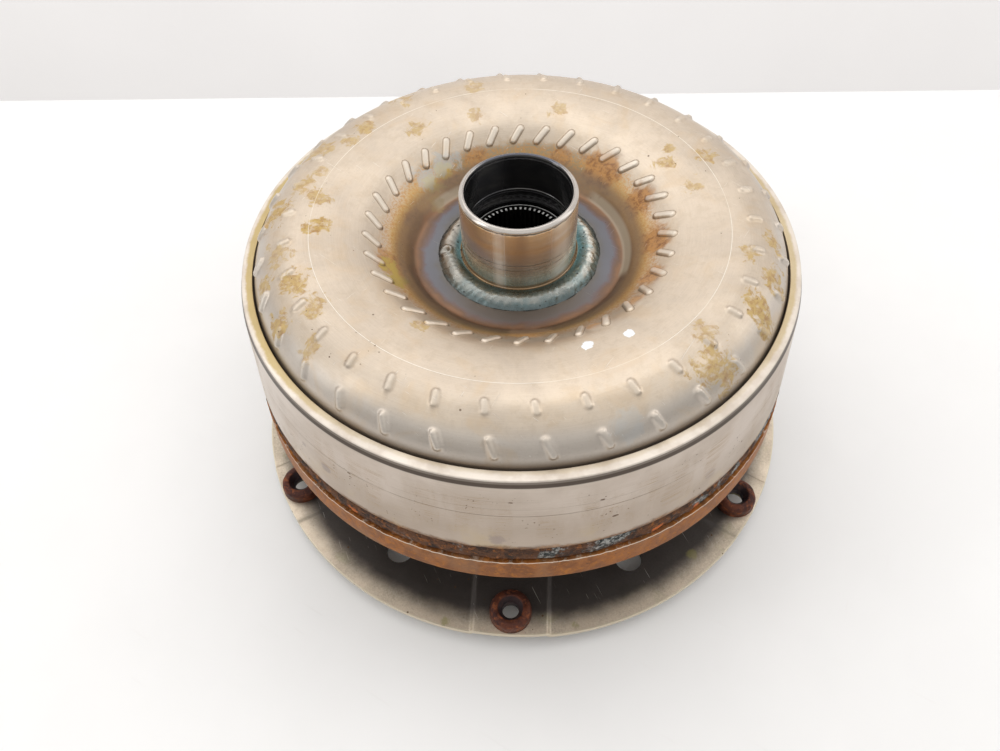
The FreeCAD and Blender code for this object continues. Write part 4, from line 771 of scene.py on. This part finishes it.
# %% The turning function
def turn_ring(name, outline, angles, lift=None, marks=(), upright=False):
    """Closed ring from a counter-clockwise outline of (radius, height) in mm and a list of angles.

    lift(radius, height, angle, along) gives how far each point stands out of the smooth skin; when
    marks names an attribute, lift gives (distance, {attribute: value}). With upright, the lift goes
    straight up instead.
    """
    points = np.array(outline, dtype=float)
    angles = np.asarray(angles, dtype=float)
    steps = np.linalg.norm(points - np.roll(points, 1, 0), axis=1)
    along = np.cumsum(steps) - steps[0]
    tangent = np.roll(points, -1, 0) - np.roll(points, 1, 0)
    tangent /= np.linalg.norm(tangent, axis=1)[:, None]
    radius = np.tile(points[:, 0], (len(angles), 1))
    height = np.tile(points[:, 1], (len(angles), 1))
    angle = np.tile(angles[:, None], (1, len(points)))
    values = {}
    if lift:
        raised = lift(radius, height, angle, np.tile(along, (len(angles), 1)))
        if marks:
            raised, values = raised
        radius = radius + (0.0 if upright else raised * tangent[:, 1])
        height = height + (raised if upright else -raised * tangent[:, 0])
    spots = np.stack([radius * np.cos(angle), radius * np.sin(angle), height], 2).reshape(-1, 3) * MM
    column = np.arange(len(angles))[:, None] * len(points)
    following = np.roll(column, -1, 0)
    row = np.arange(len(points))[None, :]
    after = np.roll(row, -1, 1)
    quads = np.stack([column + row, following + row, following + after, column + after], 2).reshape(-1, 4)
    mesh = bpy.data.meshes.new(name)
    mesh.from_pydata(spots.tolist(), [], quads.tolist())
    for mark in marks:
        layer = mesh.attributes.new(mark, "FLOAT", "POINT")
        layer.data.foreach_set("value", values[mark].reshape(-1).astype(np.float32))
    mesh.shade_smooth()
    piece = bpy.data.objects.new(name, mesh)
    bpy.context.scene.collection.objects.link(piece)
    print(f"{name}: {len(points)} x {len(angles)} = {len(quads)} faces")
    return piece


def even_angles(count):
    """Angles of evenly spaced columns, in radians."""
    return np.linspace(0.0, 2 * math.pi, count, endpoint=False)


def arc(centre, radius, start, stop, steps):
    """Points of an arc in the outline's plane, both ends included, in degrees."""
    turns = np.radians(np.linspace(start, stop, steps))
    return [(centre[0] + radius * math.cos(t), centre[1] + radius * math.sin(t)) for t in turns]


def rounded(corners, steps=5):
    """Outline from (radius, height, rounding) corners; each rounding is a short curve."""
    outline = []
    for index, (across, up, size) in enumerate(corners):
        here = np.array([across, up])
        before = np.array(corners[index - 1][:2])
        after = np.array(corners[(index + 1) % len(corners)][:2])
        if size == 0:
            outline.append(tuple(here))
            continue
        start = here + (before - here) / np.linalg.norm(before - here) * size
        end = here + (after - here) / np.linalg.norm(after - here) * size
        for share in np.linspace(0.0, 1.0, steps):
            point = (1 - share) ** 2 * start + 2 * share * (1 - share) * here + share ** 2 * end
            outline.append(tuple(point))
    return outline


def respaced(points, gap_at):
    """The same open line with points gap_at(radius) apart, both ends kept."""
    points = np.array(points)
    steps = np.linalg.norm(np.diff(points, axis=0), axis=1)
    along = np.concatenate([[0.0], np.cumsum(steps)])
    places = [0.0]
    while places[-1] < along[-1]:
        radius = np.interp(places[-1], along, points[:, 0])
        places.append(places[-1] + gap_at(radius))
    places = np.array(places) * along[-1] / places[-1]
    return list(zip(np.interp(places, along, points[:, 0]), np.interp(places, along, points[:, 1])))


def smooth_step(value):
    """0 below 0, 1 above 1, and an even slope between."""
    value = np.clip(value, 0.0, 1.0)
    return value * value * (3 - 2 * value)


def waves(angle, amount, seed, lowest=2, highest=9):
    """Slow undulation round the circle: a few sines with seeded phases."""
    rng = random.Random(seed)
    total = np.zeros_like(angle)
    for count in range(lowest, highest):
        total += np.sin(count * angle + rng.uniform(0, 2 * math.pi)) / count
    return total * amount


def own(piece, body, slot, *nodes):
    """Gives a piece its finish and its body, and hides the nodes that it stands for."""
    piece.data.materials.append(materials[slot])
    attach(piece, body)
    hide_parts(*nodes)


# %% [markdown]
# ## The dome
#
# The shell's section is three tangent arcs and a straight slope down to the welded floor. Each of the
# 34 blades inside is held by three tabs, and each tab's seat is pressed out as a small rib: a slanted
# one by the hub, an upright oval past the crown and a slanted one on the flank. The rows of the mesh
# lie close together where the ribs are and wide apart elsewhere, so the ribs are crisp and the file
# stays small. Each rib differs a little, as if pressed by a worn tool.

# %% Dome outline
CROWN_RADIUS = SHELL_RADIUS - 25.0
WALL = 3.5
ARCS = [  # (centre, radius, from, to) of the outer skin
    ((CROWN_RADIUS, CROWN - 25.0), 25.0, 0.0, 90.0),
    ((CROWN_RADIUS, CROWN - 91.0), 91.0, 90.0, 106.0),
    ((CROWN_RADIUS - 65.0 * math.sin(math.radians(16)), CROWN - 91.0 + 65.0 * math.cos(math.radians(16))),
     26.0, 106.0, 127.0)]
FLOOR = CROWN - 24.0
skin_line, lining_line = [(SHELL_RADIUS, SHELL_FOOT)], [(SHELL_RADIUS - WALL, SHELL_FOOT)]
for centre, size, start, stop in ARCS:
    skin_line += arc(centre, size, start, stop, 60)
    lining_line += arc(centre, size - WALL, start, stop, 9)
slope = math.tan(math.radians(37))
edge_height = skin_line[-1][1] - (skin_line[-1][0] - 56.0) * slope
skin_line += [(56.0, edge_height), (51.5, FLOOR), (FLANGE_RADIUS, FLOOR)]
lining_line.append((lining_line[-1][0] - (lining_line[-1][1] - FLOOR + WALL) / slope, FLOOR - WALL))
lining_line.append((FLANGE_RADIUS, FLOOR - WALL))

TAB_ROWS = [  # (radius, degrees, length, width, slant, height, crispness) of the ribs
    (70.9, -2.32, 12.4, 4.5, -31.0, 1.05, 1.7),
    (111.3, 0.35, 9.0, 4.8, 10.0, 1.05, 1.5),
    (125.1, 2.45, 11.3, 4.9, 22.0, 1.4, 1.5)]
TAB_COUNT = 34


def dome_gap(radius):
    """Row spacing: fine across the ribs and on the worn edge, wide elsewhere."""
    if radius < 58.0:
        return 1.1
    return 0.62 if any(abs(radius - row[0]) < row[2] * 0.5 + 0.8 for row in TAB_ROWS) else 1.9


dense = np.array(respaced(skin_line, lambda radius: 0.25))
for _ in range(14):
    dense[1:-1] = (dense[:-2] + 2 * dense[1:-1] + dense[2:]) / 4
skin_rows = respaced(dense, dome_gap)
print("dome skin rows:", len(skin_rows), "lining rows:", len(lining_line))

# %% Ribs and the dome's mesh
rng = random.Random(34)
wear = [[(rng.uniform(0.94, 1.06), rng.uniform(-2.0, 2.0), rng.uniform(0.88, 1.1)) for _ in range(TAB_COUNT)]
        for _ in TAB_ROWS]
PITCH = 2 * math.pi / TAB_COUNT


def rib_lift(radius, height, angle, along):
    """Height of the ribs, of faint dents and of the scribed circle over the dome's smooth skin."""
    outer = along <= along[0, len(skin_rows) - 1]
    rib = np.zeros_like(radius)
    lifted = np.zeros_like(radius)
    for (circle, degrees, length, width, slant, tall, crisp), row_wear in zip(TAB_ROWS, wear):
        crossing = np.argmin(np.abs(radius[0, :len(skin_rows)] - circle))
        turn = angle - math.radians(degrees)
        which = np.round(turn / PITCH).astype(int) % TAB_COUNT
        stretch, tilt, strength = (np.array([entry[k] for entry in row_wear])[which] for k in range(3))
        outwards = along[0, crossing] - along
        sideways = radius * ((turn + PITCH / 2) % PITCH - PITCH / 2)
        lean = np.radians(slant + tilt)
        long_way = outwards * np.cos(lean) + sideways * np.sin(lean)
        short_way = sideways * np.cos(lean) - outwards * np.sin(lean)
        beyond = np.maximum(np.abs(long_way) - (length * stretch - width) / 2, 0.0)
        shape = smooth_step((1.0 - np.hypot(beyond, short_way) / (width / 2)) * crisp)
        lean_in = 1.0 - 0.08 * long_way / (length / 2)
        lifted += np.where(outer, shape * tall * strength * lean_in, 0.0)
        rib = np.maximum(rib, np.where(outer, shape, 0.0))
        inner_rib = rib if circle == TAB_ROWS[0][0] else inner_rib
    dents = waves(angle, 0.03, 5) * np.sin(radius / 14.0)
    scribe = -0.12 * np.exp(-((radius - SCRIBE) / 0.5) ** 2)
    return lifted + np.where(outer, dents + scribe, 0.0), {"rib": rib, "inner_rib": inner_rib}


dome = turn_ring("impeller_dome", skin_rows + lining_line[::-1], even_angles(TAB_COUNT * 28), rib_lift,
                 ["rib", "inner_rib"])
own(dome, "housing", "dome_steel", "impeller_shell")

# %% [markdown]
# ## The hub and its weld bead
#
# The hub is a sleeve with a rolled lip, a stepped bore and a flange that the bead covers. Its lip has
# a ragged lower edge, so the lift pulls a shallow groove in and out with noise. The bead was laid by
# hand round the hub: its lift is a row of ripples, slower lumps, and at the left the crater where the
# arc was broken off.

# %% Hub sleeve
def read_noise(radius, height, angle, size, seed):
    """Smooth noise read on the skin, features about size mm wide, from -1 to 1."""
    flat = zip((radius * np.cos(angle)).ravel(), (radius * np.sin(angle)).ravel(), height.ravel())
    found = [noise.noise(Vector((a / size, b / size, c / size + seed))) for a, b, c in flat]
    return np.array(found).reshape(radius.shape)


HUB_RADIUS, HUB_BORE, LOWER_BORE = 28.0, 25.0, 24.6
BORE_FOOT = HUB_TOP - 20.4
hub_corners = rounded([
    (LOWER_BORE, HUB_FOOT, 0), (FLANGE_RADIUS, HUB_FOOT, 0), (FLANGE_RADIUS, FLOOR + 2.4, 0),
    (HUB_RADIUS + 0.3, FLOOR + 2.4, 0), (HUB_RADIUS, FLOOR + 3.1, 0.25), (HUB_RADIUS, HUB_TOP - 1.15, 0.55),
    (HUB_RADIUS - 1.4, HUB_TOP, 0.7), (HUB_BORE + 0.6, HUB_TOP, 0.35), (HUB_BORE, HUB_TOP - 1.1, 0.4),
    (HUB_BORE, BORE_FOOT, 0.15), (LOWER_BORE, BORE_FOOT - 0.3, 0.15)], 5)
wall_low = next(i for i, p in enumerate(hub_corners) if p[0] <= HUB_RADIUS and p[1] > FLOOR + 3.2)
wall_rows = respaced([hub_corners[wall_low], hub_corners[wall_low + 1]], lambda radius: 0.45)
hub_outline = hub_corners[:wall_low] + wall_rows + hub_corners[wall_low + 2:]


def hub_lift(radius, height, angle, along):
    """Groove under the rolled lip, and the seal's running tracks."""
    outside = radius > HUB_RADIUS - 0.05
    ragged = read_noise(radius, height, angle, 2.2, 3.0) * 0.55
    groove = -0.16 * np.exp(-((height - (HUB_TOP - 2.1) + ragged) / 0.38) ** 2)
    tracks = -0.05 * np.exp(-((height - 152.1) / 0.35) ** 2) - 0.04 * np.exp(-((height - 149.2) / 0.3) ** 2)
    return np.where(outside & (height > FLOOR + 4), groove + tracks, 0.0)


hub = turn_ring("hub_sleeve", hub_outline, even_angles(288), hub_lift)
own(hub, "housing", "hub_bronze_grey", "pump_hub")

# %% Hub weld bead
CRATER = math.radians(186)
BEAD_INNER, BEAD_OUTER = HUB_RADIUS + 0.5, 40.0
bead_line = [(BEAD_INNER, FLOOR + 0.5)] + [
    (BEAD_INNER + (BEAD_OUTER - BEAD_INNER) * share,
     FLOOR + 2.5 * (1 - share) + 2.5 * math.sin(math.pi * share ** 1.25) ** 1.3 + 0.05)
    for share in np.linspace(0.0, 1.0, 34)] + [(BEAD_OUTER, FLOOR - 0.2)]
bead_outline = bead_line[::-1]


def bead_lift(radius, height, angle, along):
    """Ripples across the bead, slow lumps, and the crater where the arc stopped."""
    skin = smooth_step((radius - BEAD_INNER - 0.6) / 3.0) * (height > FLOOR)
    ripple = np.sin(angle * 66 + 1.1 * (radius - 31.0) + 2.2 * np.sin(angle * 5))
    lumps = read_noise(radius, height, angle, 7.0, 11.0) * 0.45
    lumps += read_noise(radius, height, angle, 2.4, 2.0) * 0.16
    turn = (angle - CRATER + math.pi) % (2 * math.pi) - math.pi
    away = np.hypot(radius * turn, radius - 36.2)
    crater = -1.5 * np.exp(-(away / 1.35) ** 2) + 0.7 * np.exp(-((away - 2.6) / 0.9) ** 2)
    tail = -0.7 * np.exp(-((turn + 0.16) / 0.10) ** 2) * np.exp(-((radius - 35.0) / 3.0) ** 2)
    return skin * (0.055 * ripple + lumps + crater + tail)


bead = turn_ring("hub_weld_bead", bead_outline, even_angles(640), bead_lift)
own(bead, "housing", "weld_bead", "hub_weld")

# %% [markdown]
# ## Drum, raw weld and cover
#
# The drum and the pressed cover are plain turned outlines, with corners rounded as a tool leaves them
# and a slow waviness that keeps their edges from looking drawn. The weld between them is lumpy, with
# scale flaking off, so its lift is the sum of coarse and fine noise.

# %% Drum wall
DRUM_NECK, WELD_EDGE, COVER_BORE = DRUM_FLARE - 3.6, DRUM_FLARE - 0.8, DRUM_FLARE - 5.0
SHOULDER = SHELL_RADIUS + 5.0
drum_corners = rounded([
    (COVER_BORE, DRUM_FOOT, 0), (WELD_EDGE, DRUM_FOOT, 0.3), (DRUM_FLARE, DRUM_FOOT + 3.0, 1.2),
    (DRUM_NECK, DRUM_TOP - 4.1, 0.8), (SHOULDER, DRUM_TOP, 0.45), (SHELL_RADIUS, DRUM_TOP, 0.35),
    (SHELL_RADIUS, SHELL_FOOT, 0)])
flank = max(range(len(drum_corners)), key=lambda i: drum_corners[i][0] + 0.001 * drum_corners[i][1])
flank = next(i for i in range(flank, len(drum_corners)) if drum_corners[i + 1][1] - drum_corners[i][1] > 20)
wall_rows = respaced([drum_corners[flank], drum_corners[flank + 1]], lambda radius: 0.9)
drum_outline = drum_corners[:flank] + wall_rows + drum_corners[flank + 2:]


def drum_lift(radius, height, angle, along):
    """Score round the wall, tool chatter and a slow waviness."""
    outside = (radius > DRUM_NECK - 0.3) & (height > DRUM_FOOT + 3)
    score = -0.10 * np.exp(-((height - 116.5) / 0.5) ** 2)
    chatter = 0.012 * np.sin(height * 1.1) + 0.02 * np.sin(height * 0.31 + 1.0)
    return np.where(outside, score + chatter + waves(angle, 0.035, 8), 0.0)


drum = turn_ring("drum_wall", drum_outline, even_angles(420), drum_lift)
own(drum, "housing", "drum_grey", "drum_ring")

# %% Raw weld band
band_line = respaced([(WELD_EDGE - 0.4, COVER_EDGE - 1.2), (DRUM_FLARE - 0.1, COVER_EDGE + 2.5),
                      (DRUM_FLARE + 0.15, COVER_EDGE + 6.0), (DRUM_FLARE - 0.2, DRUM_FOOT + 0.6),
                      (DRUM_FLARE - 1.0, DRUM_FOOT + 2.6)], lambda radius: 0.55)
band_outline = [(COVER_BORE, COVER_EDGE - 1.2)] + band_line + [(COVER_BORE, DRUM_FOOT + 2.6)]


def band_lift(radius, height, angle, along):
    """Lumps and flaking scale of an uncleaned weld, fading out at both edges."""
    middle = np.clip((height - COVER_EDGE + 1.2) / 2.5, 0, 1)
    middle *= np.clip((DRUM_FOOT + 2.6 - height) / 3.0, 0, 1)
    coarse = read_noise(radius, height, angle, 7.0, 1.0) * 0.5
    middle_size = read_noise(radius, height, angle, 2.4, 6.0) * 0.42
    fine = read_noise(radius, height, angle, 0.95, 9.0) * 0.22
    undercut = -0.45 * np.exp(-((height - DRUM_FOOT - 0.9) / 0.9) ** 2)
    return np.where(radius > COVER_BORE + 1, (coarse + middle_size + fine + undercut) * middle, 0.0)


weld = turn_ring("raw_weld_band", band_outline, even_angles(1260), band_lift)
own(weld, "housing", "weld_band", "cover_weld")

# %% Pressed front cover
DISH, FLARE, DEPTH, SHEET = COVER_BORE - 34.8, 12.0, 40.5, 4.5
PILOT_SEAT = 25.0
RIM_UNDER = COVER_FACE + DEPTH
lean = math.hypot(DEPTH, FLARE) / DEPTH
lock_face = RIM_UNDER + SHEET
cover_outline = rounded([
    (PILOT_SEAT, COVER_FACE, 0), (DISH, COVER_FACE, 5.0), (DISH + FLARE, RIM_UNDER, 3.0),
    (RIM_RADIUS - 0.1, RIM_UNDER, 4.2), (RIM_RADIUS - 0.9, COVER_EDGE, 0.35), (COVER_BORE, COVER_EDGE, 0),
    (COVER_BORE, lock_face, 0), (DISH + FLARE * (1 + SHEET / DEPTH) - SHEET * lean, lock_face, 2.0),
    (DISH + FLARE * SHEET / DEPTH - SHEET * lean, COVER_FACE + SHEET, 3.0),
    (PILOT_SEAT, COVER_FACE + SHEET, 0)], 9)


def cover_lift(radius, height, angle, along):
    """Slow waviness of a pressed rim, and the torn burr at its upper edge."""
    rim = smooth_step((radius - 137.0) / 3.0) * (height > RIM_UNDER - 1)
    burr = read_noise(radius, height, angle, 2.6, 4.0) * 0.3 * smooth_step((height - COVER_EDGE + 1.6) / 1.2)
    return rim * (waves(angle, 0.05, 12) + burr) - 0.1 * rim


cover = turn_ring("pressed_cover", cover_outline, even_angles(720), cover_lift)
own(cover, "housing", "rusty_rim", "front_cover")

# %% [markdown]
# ## Drive plate
#
# The plate is one sheet with six pads pressed up by less than its own thickness. Height comes from a
# smooth step across each pad's border. The columns of the mesh crowd together along the borders, and
# the holes are cut last with boolean cutters, which leave clean round walls.

# %% Plate outline and pads
PLATE_WALL, PAD_RAISE, PAD_HALF, PAD_INNER = 3.0, 1.8, 20.0, PLATE_RADIUS - 39.0
PAD_TURNS = [math.radians(30 + 60 * k) for k in range(6)]
PLATE_TOP = PLATE_FOOT + PLATE_WALL
radii = [PILOT_SEAT + 0.05, 40, 60, 84, 100, 108]
radii += list(np.arange(110.0, 115.1, 0.5)) + list(np.arange(118, 148.1, 3.0))
radii += [150.2, PLATE_RADIUS - 0.15, PLATE_RADIUS]
under = [(radius, PLATE_FOOT) for radius in radii[:-1]] + [(PLATE_RADIUS, PLATE_FOOT + 0.3)]
upper = [(PLATE_RADIUS, PLATE_TOP - 0.5)] + [(radius, PLATE_TOP) for radius in radii[-2::-1]]
columns = []
for pad in PAD_TURNS:
    fine = [math.radians(d) for d in np.arange(6.8, 11.8, 0.22)]
    middle = [math.radians(d) for d in np.arange(-6.0, 6.1, 1.5)]
    between = [math.radians(d) for d in np.arange(12.5, 47.6, 1.75)]
    columns += [pad - turn for turn in reversed(fine)] + [pad + turn for turn in middle]
    columns += [pad + turn for turn in fine] + [pad + turn for turn in between]


def pad_share(radius, angle):
    """1 on a pad, 0 off it, and a smooth step along its border."""
    turn = (angle - PAD_TURNS[0] + math.pi / 6) % (math.pi / 3) - math.pi / 6
    across = (PAD_HALF + 0.9 - np.abs(radius * np.sin(turn))) / 2.6
    inwards = (radius * np.cos(turn) - PAD_INNER + 0.6) / 2.6
    return smooth_step(across) * smooth_step(inwards)


def plate_lift(radius, height, angle, along):
    """Pads as a rise of both faces, and the slight buckle of a thin sheet."""
    share = pad_share(radius, angle)
    buckle = waves(angle, 0.10, 21, 2, 6) * smooth_step((radius - 60.0) / 90.0)
    return share * PAD_RAISE + buckle * (1 - share), {"step": share}


plate = turn_ring("drive_plate", under + upper, sorted(columns), plate_lift, ["step"], upright=True)

# %% Holes in the plate
HOLE_ROWS = [(PLATE_RADIUS - 11.5, 5.25, 30.0), (PLATE_RADIUS - 28.5, 7.2, 0.0), (84.0, 5.0, 0.0)]
cutter_mesh = bpy.data.meshes.new("hole_cutters")
cutter = bpy.data.objects.new("hole_cutters", cutter_mesh)
bpy.context.scene.collection.objects.link(cutter)
corners, faces = [], []
SIDES = 40
for circle, hole, phase in HOLE_ROWS:
    for k in range(6):
        middle = spot(phase + 60 * k, circle, 0.0)
        first = len(corners)
        for level in (PLATE_FOOT - 3.0, PAD_TOP + 3.0):
            for side in range(SIDES):
                turn = 2 * math.pi * side / SIDES
                corners.append(((middle[0] + hole * math.cos(turn)) * MM,
                                (middle[1] + hole * math.sin(turn)) * MM, level * MM))
        faces.append([first + side for side in reversed(range(SIDES))])
        faces.append([first + SIDES + side for side in range(SIDES)])
        faces += [[first + side, first + (side + 1) % SIDES, first + SIDES + (side + 1) % SIDES,
                   first + SIDES + side] for side in range(SIDES)]
cutter_mesh.from_pydata(corners, [], faces)
cut = plate.modifiers.new("holes", "BOOLEAN")
cut.operation, cut.solver, cut.object = "DIFFERENCE", "EXACT", cutter
depsgraph = bpy.context.evaluated_depsgraph_get()
drilled = bpy.data.meshes.new_from_object(plate.evaluated_get(depsgraph))
plate.modifiers.clear()
plate.data = drilled
bpy.data.objects.remove(cutter)
drilled.set_sharp_from_angle(angle=math.radians(40))
own(plate, "housing", "zinc_plate", "flexplate")
print("drive_plate:", len(drilled.polygons), "faces after drilling")

# %% [markdown]
# ## Nuts and bolts
#
# Each weld nut is a small turned ring with a rounded top and a bevelled mouth, roughened by noise that
# differs from nut to nut. The bolts under the plate have a hexagonal head with its corners turned off
# and a flange. A hexagon is a circle whose radius changes with the angle, so the same turning works.

# %% Weld nuts
NUT_RADIUS, NUT_BORE, NUT_CIRCLE = 11.0, 4.25, PLATE_RADIUS - 11.5
NUT_FOOT, NUT_TOP = PAD_TOP, size_of("flexplate_nuts")[2]
nut_outline = rounded([
    (NUT_BORE, NUT_FOOT, 0), (NUT_RADIUS - 0.1, NUT_FOOT, 0.5), (NUT_RADIUS - 0.25, NUT_TOP - 0.15, 3.4),
    (NUT_BORE + 2.3, NUT_TOP - 0.15, 0.6), (NUT_BORE, NUT_TOP - 3.5, 0.4)], 9)
nut_rows = []
for index, point in enumerate(nut_outline):
    nut_rows += respaced([point, nut_outline[(index + 1) % len(nut_outline)]], lambda radius: 0.7)[:-1]


def nut_lift(radius, height, angle, along):
    """Rust scale on the outside, none in the bore."""
    outside = smooth_step((radius - NUT_BORE - 0.4) / 1.5)
    mouth = 1 - smooth_step((radius - NUT_BORE - 1.7) / 0.7)
    scale = read_noise(radius, height, angle, 3.2, nut_seed) * 0.22
    scale += read_noise(radius, height, angle, 1.1, 5.0) * 0.12
    return (scale - 0.15) * outside * (height > NUT_FOOT + 0.2), {"bore": mouth}


nut_pieces = []
for k in range(6):
    nut_seed = 10.0 + k
    nut = turn_ring(f"weld_nut_{k + 1}", nut_rows, even_angles(96), nut_lift, ["bore"])
    place = spot(30 + 60 * k, NUT_CIRCLE, 0.0)
    nut.data.transform(Matrix.Translation(Vector(place) * MM) @ Matrix.Rotation(k * 1.1, 4, "Z"))
    nut_pieces.append(nut)
for nut in nut_pieces:
    own(nut, "housing", "rusty_nut", "flexplate_nuts")

# %% Flange bolts under the plate
BOLT_CIRCLE, HEAD_FOOT, SHANK_TOP = 84.0, size_of("flexplate_bolts")[1], size_of("flexplate_bolts")[2]
HEX_FLAT, FLANGE = 6.9, 8.45
bolt_rows = rounded([
    (0.05, HEAD_FOOT + 0.6, 0), (4.4, HEAD_FOOT + 0.5, 0.3), (5.0, HEAD_FOOT, 0.3), (6.6, HEAD_FOOT, 0.4),
    (HEX_FLAT, HEAD_FOOT + 0.6, 0.3), (HEX_FLAT, PLATE_FOOT - 1.9, 0.3), (FLANGE, PLATE_FOOT - 1.2, 0.3),
    (FLANGE, PLATE_FOOT, 0.2), (5.0, PLATE_FOOT, 0), (5.0, SHANK_TOP - 0.8, 0), (4.3, SHANK_TOP, 0),
    (0.05, SHANK_TOP, 0)], 4)


def hex_lift(radius, height, angle, along):
    """Pushes the round head out to its six corners, which stay inside a turned-off cone."""
    turn = (angle + math.pi / 6) % (math.pi / 3) - math.pi / 6
    corner = HEX_FLAT / np.cos(turn) - HEX_FLAT
    on_head = (np.abs(radius - HEX_FLAT) < 0.25) & (height < PLATE_FOOT - 1.6)
    turned_off = np.clip((height - HEAD_FOOT) * 1.6, 0.0, 1.0)
    return np.where(on_head, corner * turned_off, 0.0)


for k in range(6):
    bolt = turn_ring(f"flange_bolt_{k + 1}", bolt_rows, even_angles(72), hex_lift)
    bolt.data.set_sharp_from_angle(angle=math.radians(30))
    place = Vector(spot(60 * k, BOLT_CIRCLE, 0.0)) * MM
    bolt.data.transform(Matrix.Translation(place) @ Matrix.Rotation(k * 0.7, 4, "Z"))
    own(bolt, "housing", "black_bolt", "flexplate_bolts")

# %% [markdown]
# ## Pieces that keep their own shape
#
# The rest is shown as it comes with the frame, with the finish of its slot. Each keeps its place and
# its mesh, and gets only a material.

# %% Finishes on the remaining nodes
replaced = {name for name, node in frame["nodes"].items() if node.hide_render}
for part in frame["record"]["subparts"]:
    node = frame["nodes"][part["node"]]
    if part["node"] not in replaced:
        node.data.materials.clear()
        node.data.materials.append(materials[part["material_slot"]])
print("finished in place:", len(frame["nodes"]) - len(replaced), "replaced:", sorted(replaced))

# %% [markdown]
# ## Table and light
#
# The table is a white board with faint scuffs, and ends in a straight far edge before a pale wall. The
# light is a studio's: a wide soft lamp overhead and behind gives the dome its long highlight, a tall
# strip on each side draws upright lines on the hub, and the world fills the rest, bright above and
# grey near the horizon. The flank that faces the camera mirrors that grey, so it looks darker. The
# wall glows faintly, because the grey horizon alone would leave it too dark.

# %% Table and wall
def flat_sheet(name, corners):
    """One four-sided face."""
    mesh = bpy.data.meshes.new(name)
    mesh.from_pydata([tuple(c * MM for c in corner) for corner in corners], [], [[0, 1, 2, 3]])
    piece = bpy.data.objects.new(name, mesh)
    bpy.context.scene.collection.objects.link(piece)
    return piece


TABLE_HALF, TABLE_EDGE, EDGE_SKEW = 2400.0, 321.0, 79.0
table_top = flat_sheet("table", [
    (-TABLE_HALF, -1500, 0), (TABLE_HALF, -1500, 0),
    (TABLE_HALF, TABLE_EDGE + EDGE_SKEW, 0), (-TABLE_HALF, TABLE_EDGE - EDGE_SKEW, 0)])
wall = flat_sheet("wall", [(-3500, 640, -900), (3500, 640, -900), (3500, 900, 1800), (-3500, 900, 1800)])
make, at = start_material("table_white")
mm = at["Millimetres"]
marks = make.most(make.group("hairlines", Place=mm, Turn=0.5, Length=60.0, Share=0.09)["Mask"],
                  make.group("hairlines", Place=mm, Turn=1.9, Length=45.0, Share=0.075)["Mask"])
tone = make.noise(mm, 0.006, 4.0, 0.6)
board = make.blend(make.rise(tone, 0.35, 0.65), colour(0.925, 0.92, 0.915), colour(0.90, 0.895, 0.89))
board = make.blend(make.times(marks, 0.07), board, colour(0.62, 0.50, 0.46))
end_material(make, board, make.rise(tone, 0.3, 0.7, 0.42, 0.52), 0.0, make.times(marks, -1.0), 0.05)
table_top.data.materials.append(materials["table_white"])
make, at = start_material("wall_grey")
tone = make.noise(at["Millimetres"], 0.004, 4.0, 0.6)
painted = make.blend(make.rise(tone, 0.3, 0.7), colour(0.86, 0.84, 0.83), colour(0.82, 0.80, 0.79))
end_material(make, painted, 0.6, 0.0, make.noise(at["Millimetres"], 0.3, 3.0), 0.05,
             Emission_Color=colour(1.0, 0.975, 0.965), Emission_Strength=0.38)
wall.data.materials.append(materials["wall_grey"])


# %% Lamps
def soft_lamp(name, place, target, width, length, power):
    """Rectangular lamp at a place, facing a target, in millimetres and watts."""
    lamp = bpy.data.lights.new(name, "AREA")
    lamp.shape, lamp.size, lamp.size_y, lamp.energy = "RECTANGLE", width * MM, length * MM, power
    holder = bpy.data.objects.new(name, lamp)
    bpy.context.scene.collection.objects.link(holder)
    holder.location = Vector(place) * MM
    aim = Vector(target) * MM - holder.location
    holder.rotation_euler = aim.to_track_quat("-Z", "Y").to_euler()
    return holder


middle = (0, 0, 100)
soft_lamp("overhead", (-150, 500, 1150), middle, 1500, 900, 3.4)
soft_lamp("left_strip", (-900, -250, 620), middle, 260, 900, 1.3)
soft_lamp("right_strip", (950, 150, 660), middle, 320, 900, 1.2)
world = bpy.data.worlds.new("studio")
bpy.context.scene.world = world
world.use_nodes = True
world.node_tree.nodes.clear()
sky = Recipe(world.node_tree)
split = sky.put("ShaderNodeSeparateXYZ", {0: sky.put("ShaderNodeTexCoord")}).node.outputs
bright_side = sky.plus(sky.times(split[1], 0.8), sky.times(split[2], 0.6))
HORIZON, ZENITH = 0.36, 1.01
level = sky.rise(split[2], 0.05, 0.75, HORIZON, ZENITH)
level = sky.times(level, sky.rise(bright_side, -0.35, 0.55, 0.93, 1.0))
light = sky.put("ShaderNodeBackground", {"Color": colour(1.0, 0.99, 0.975), "Strength": level})
sky.node("ShaderNodeOutputWorld", {"Surface": light})
bpy.context.scene.view_settings.view_transform = "Standard"
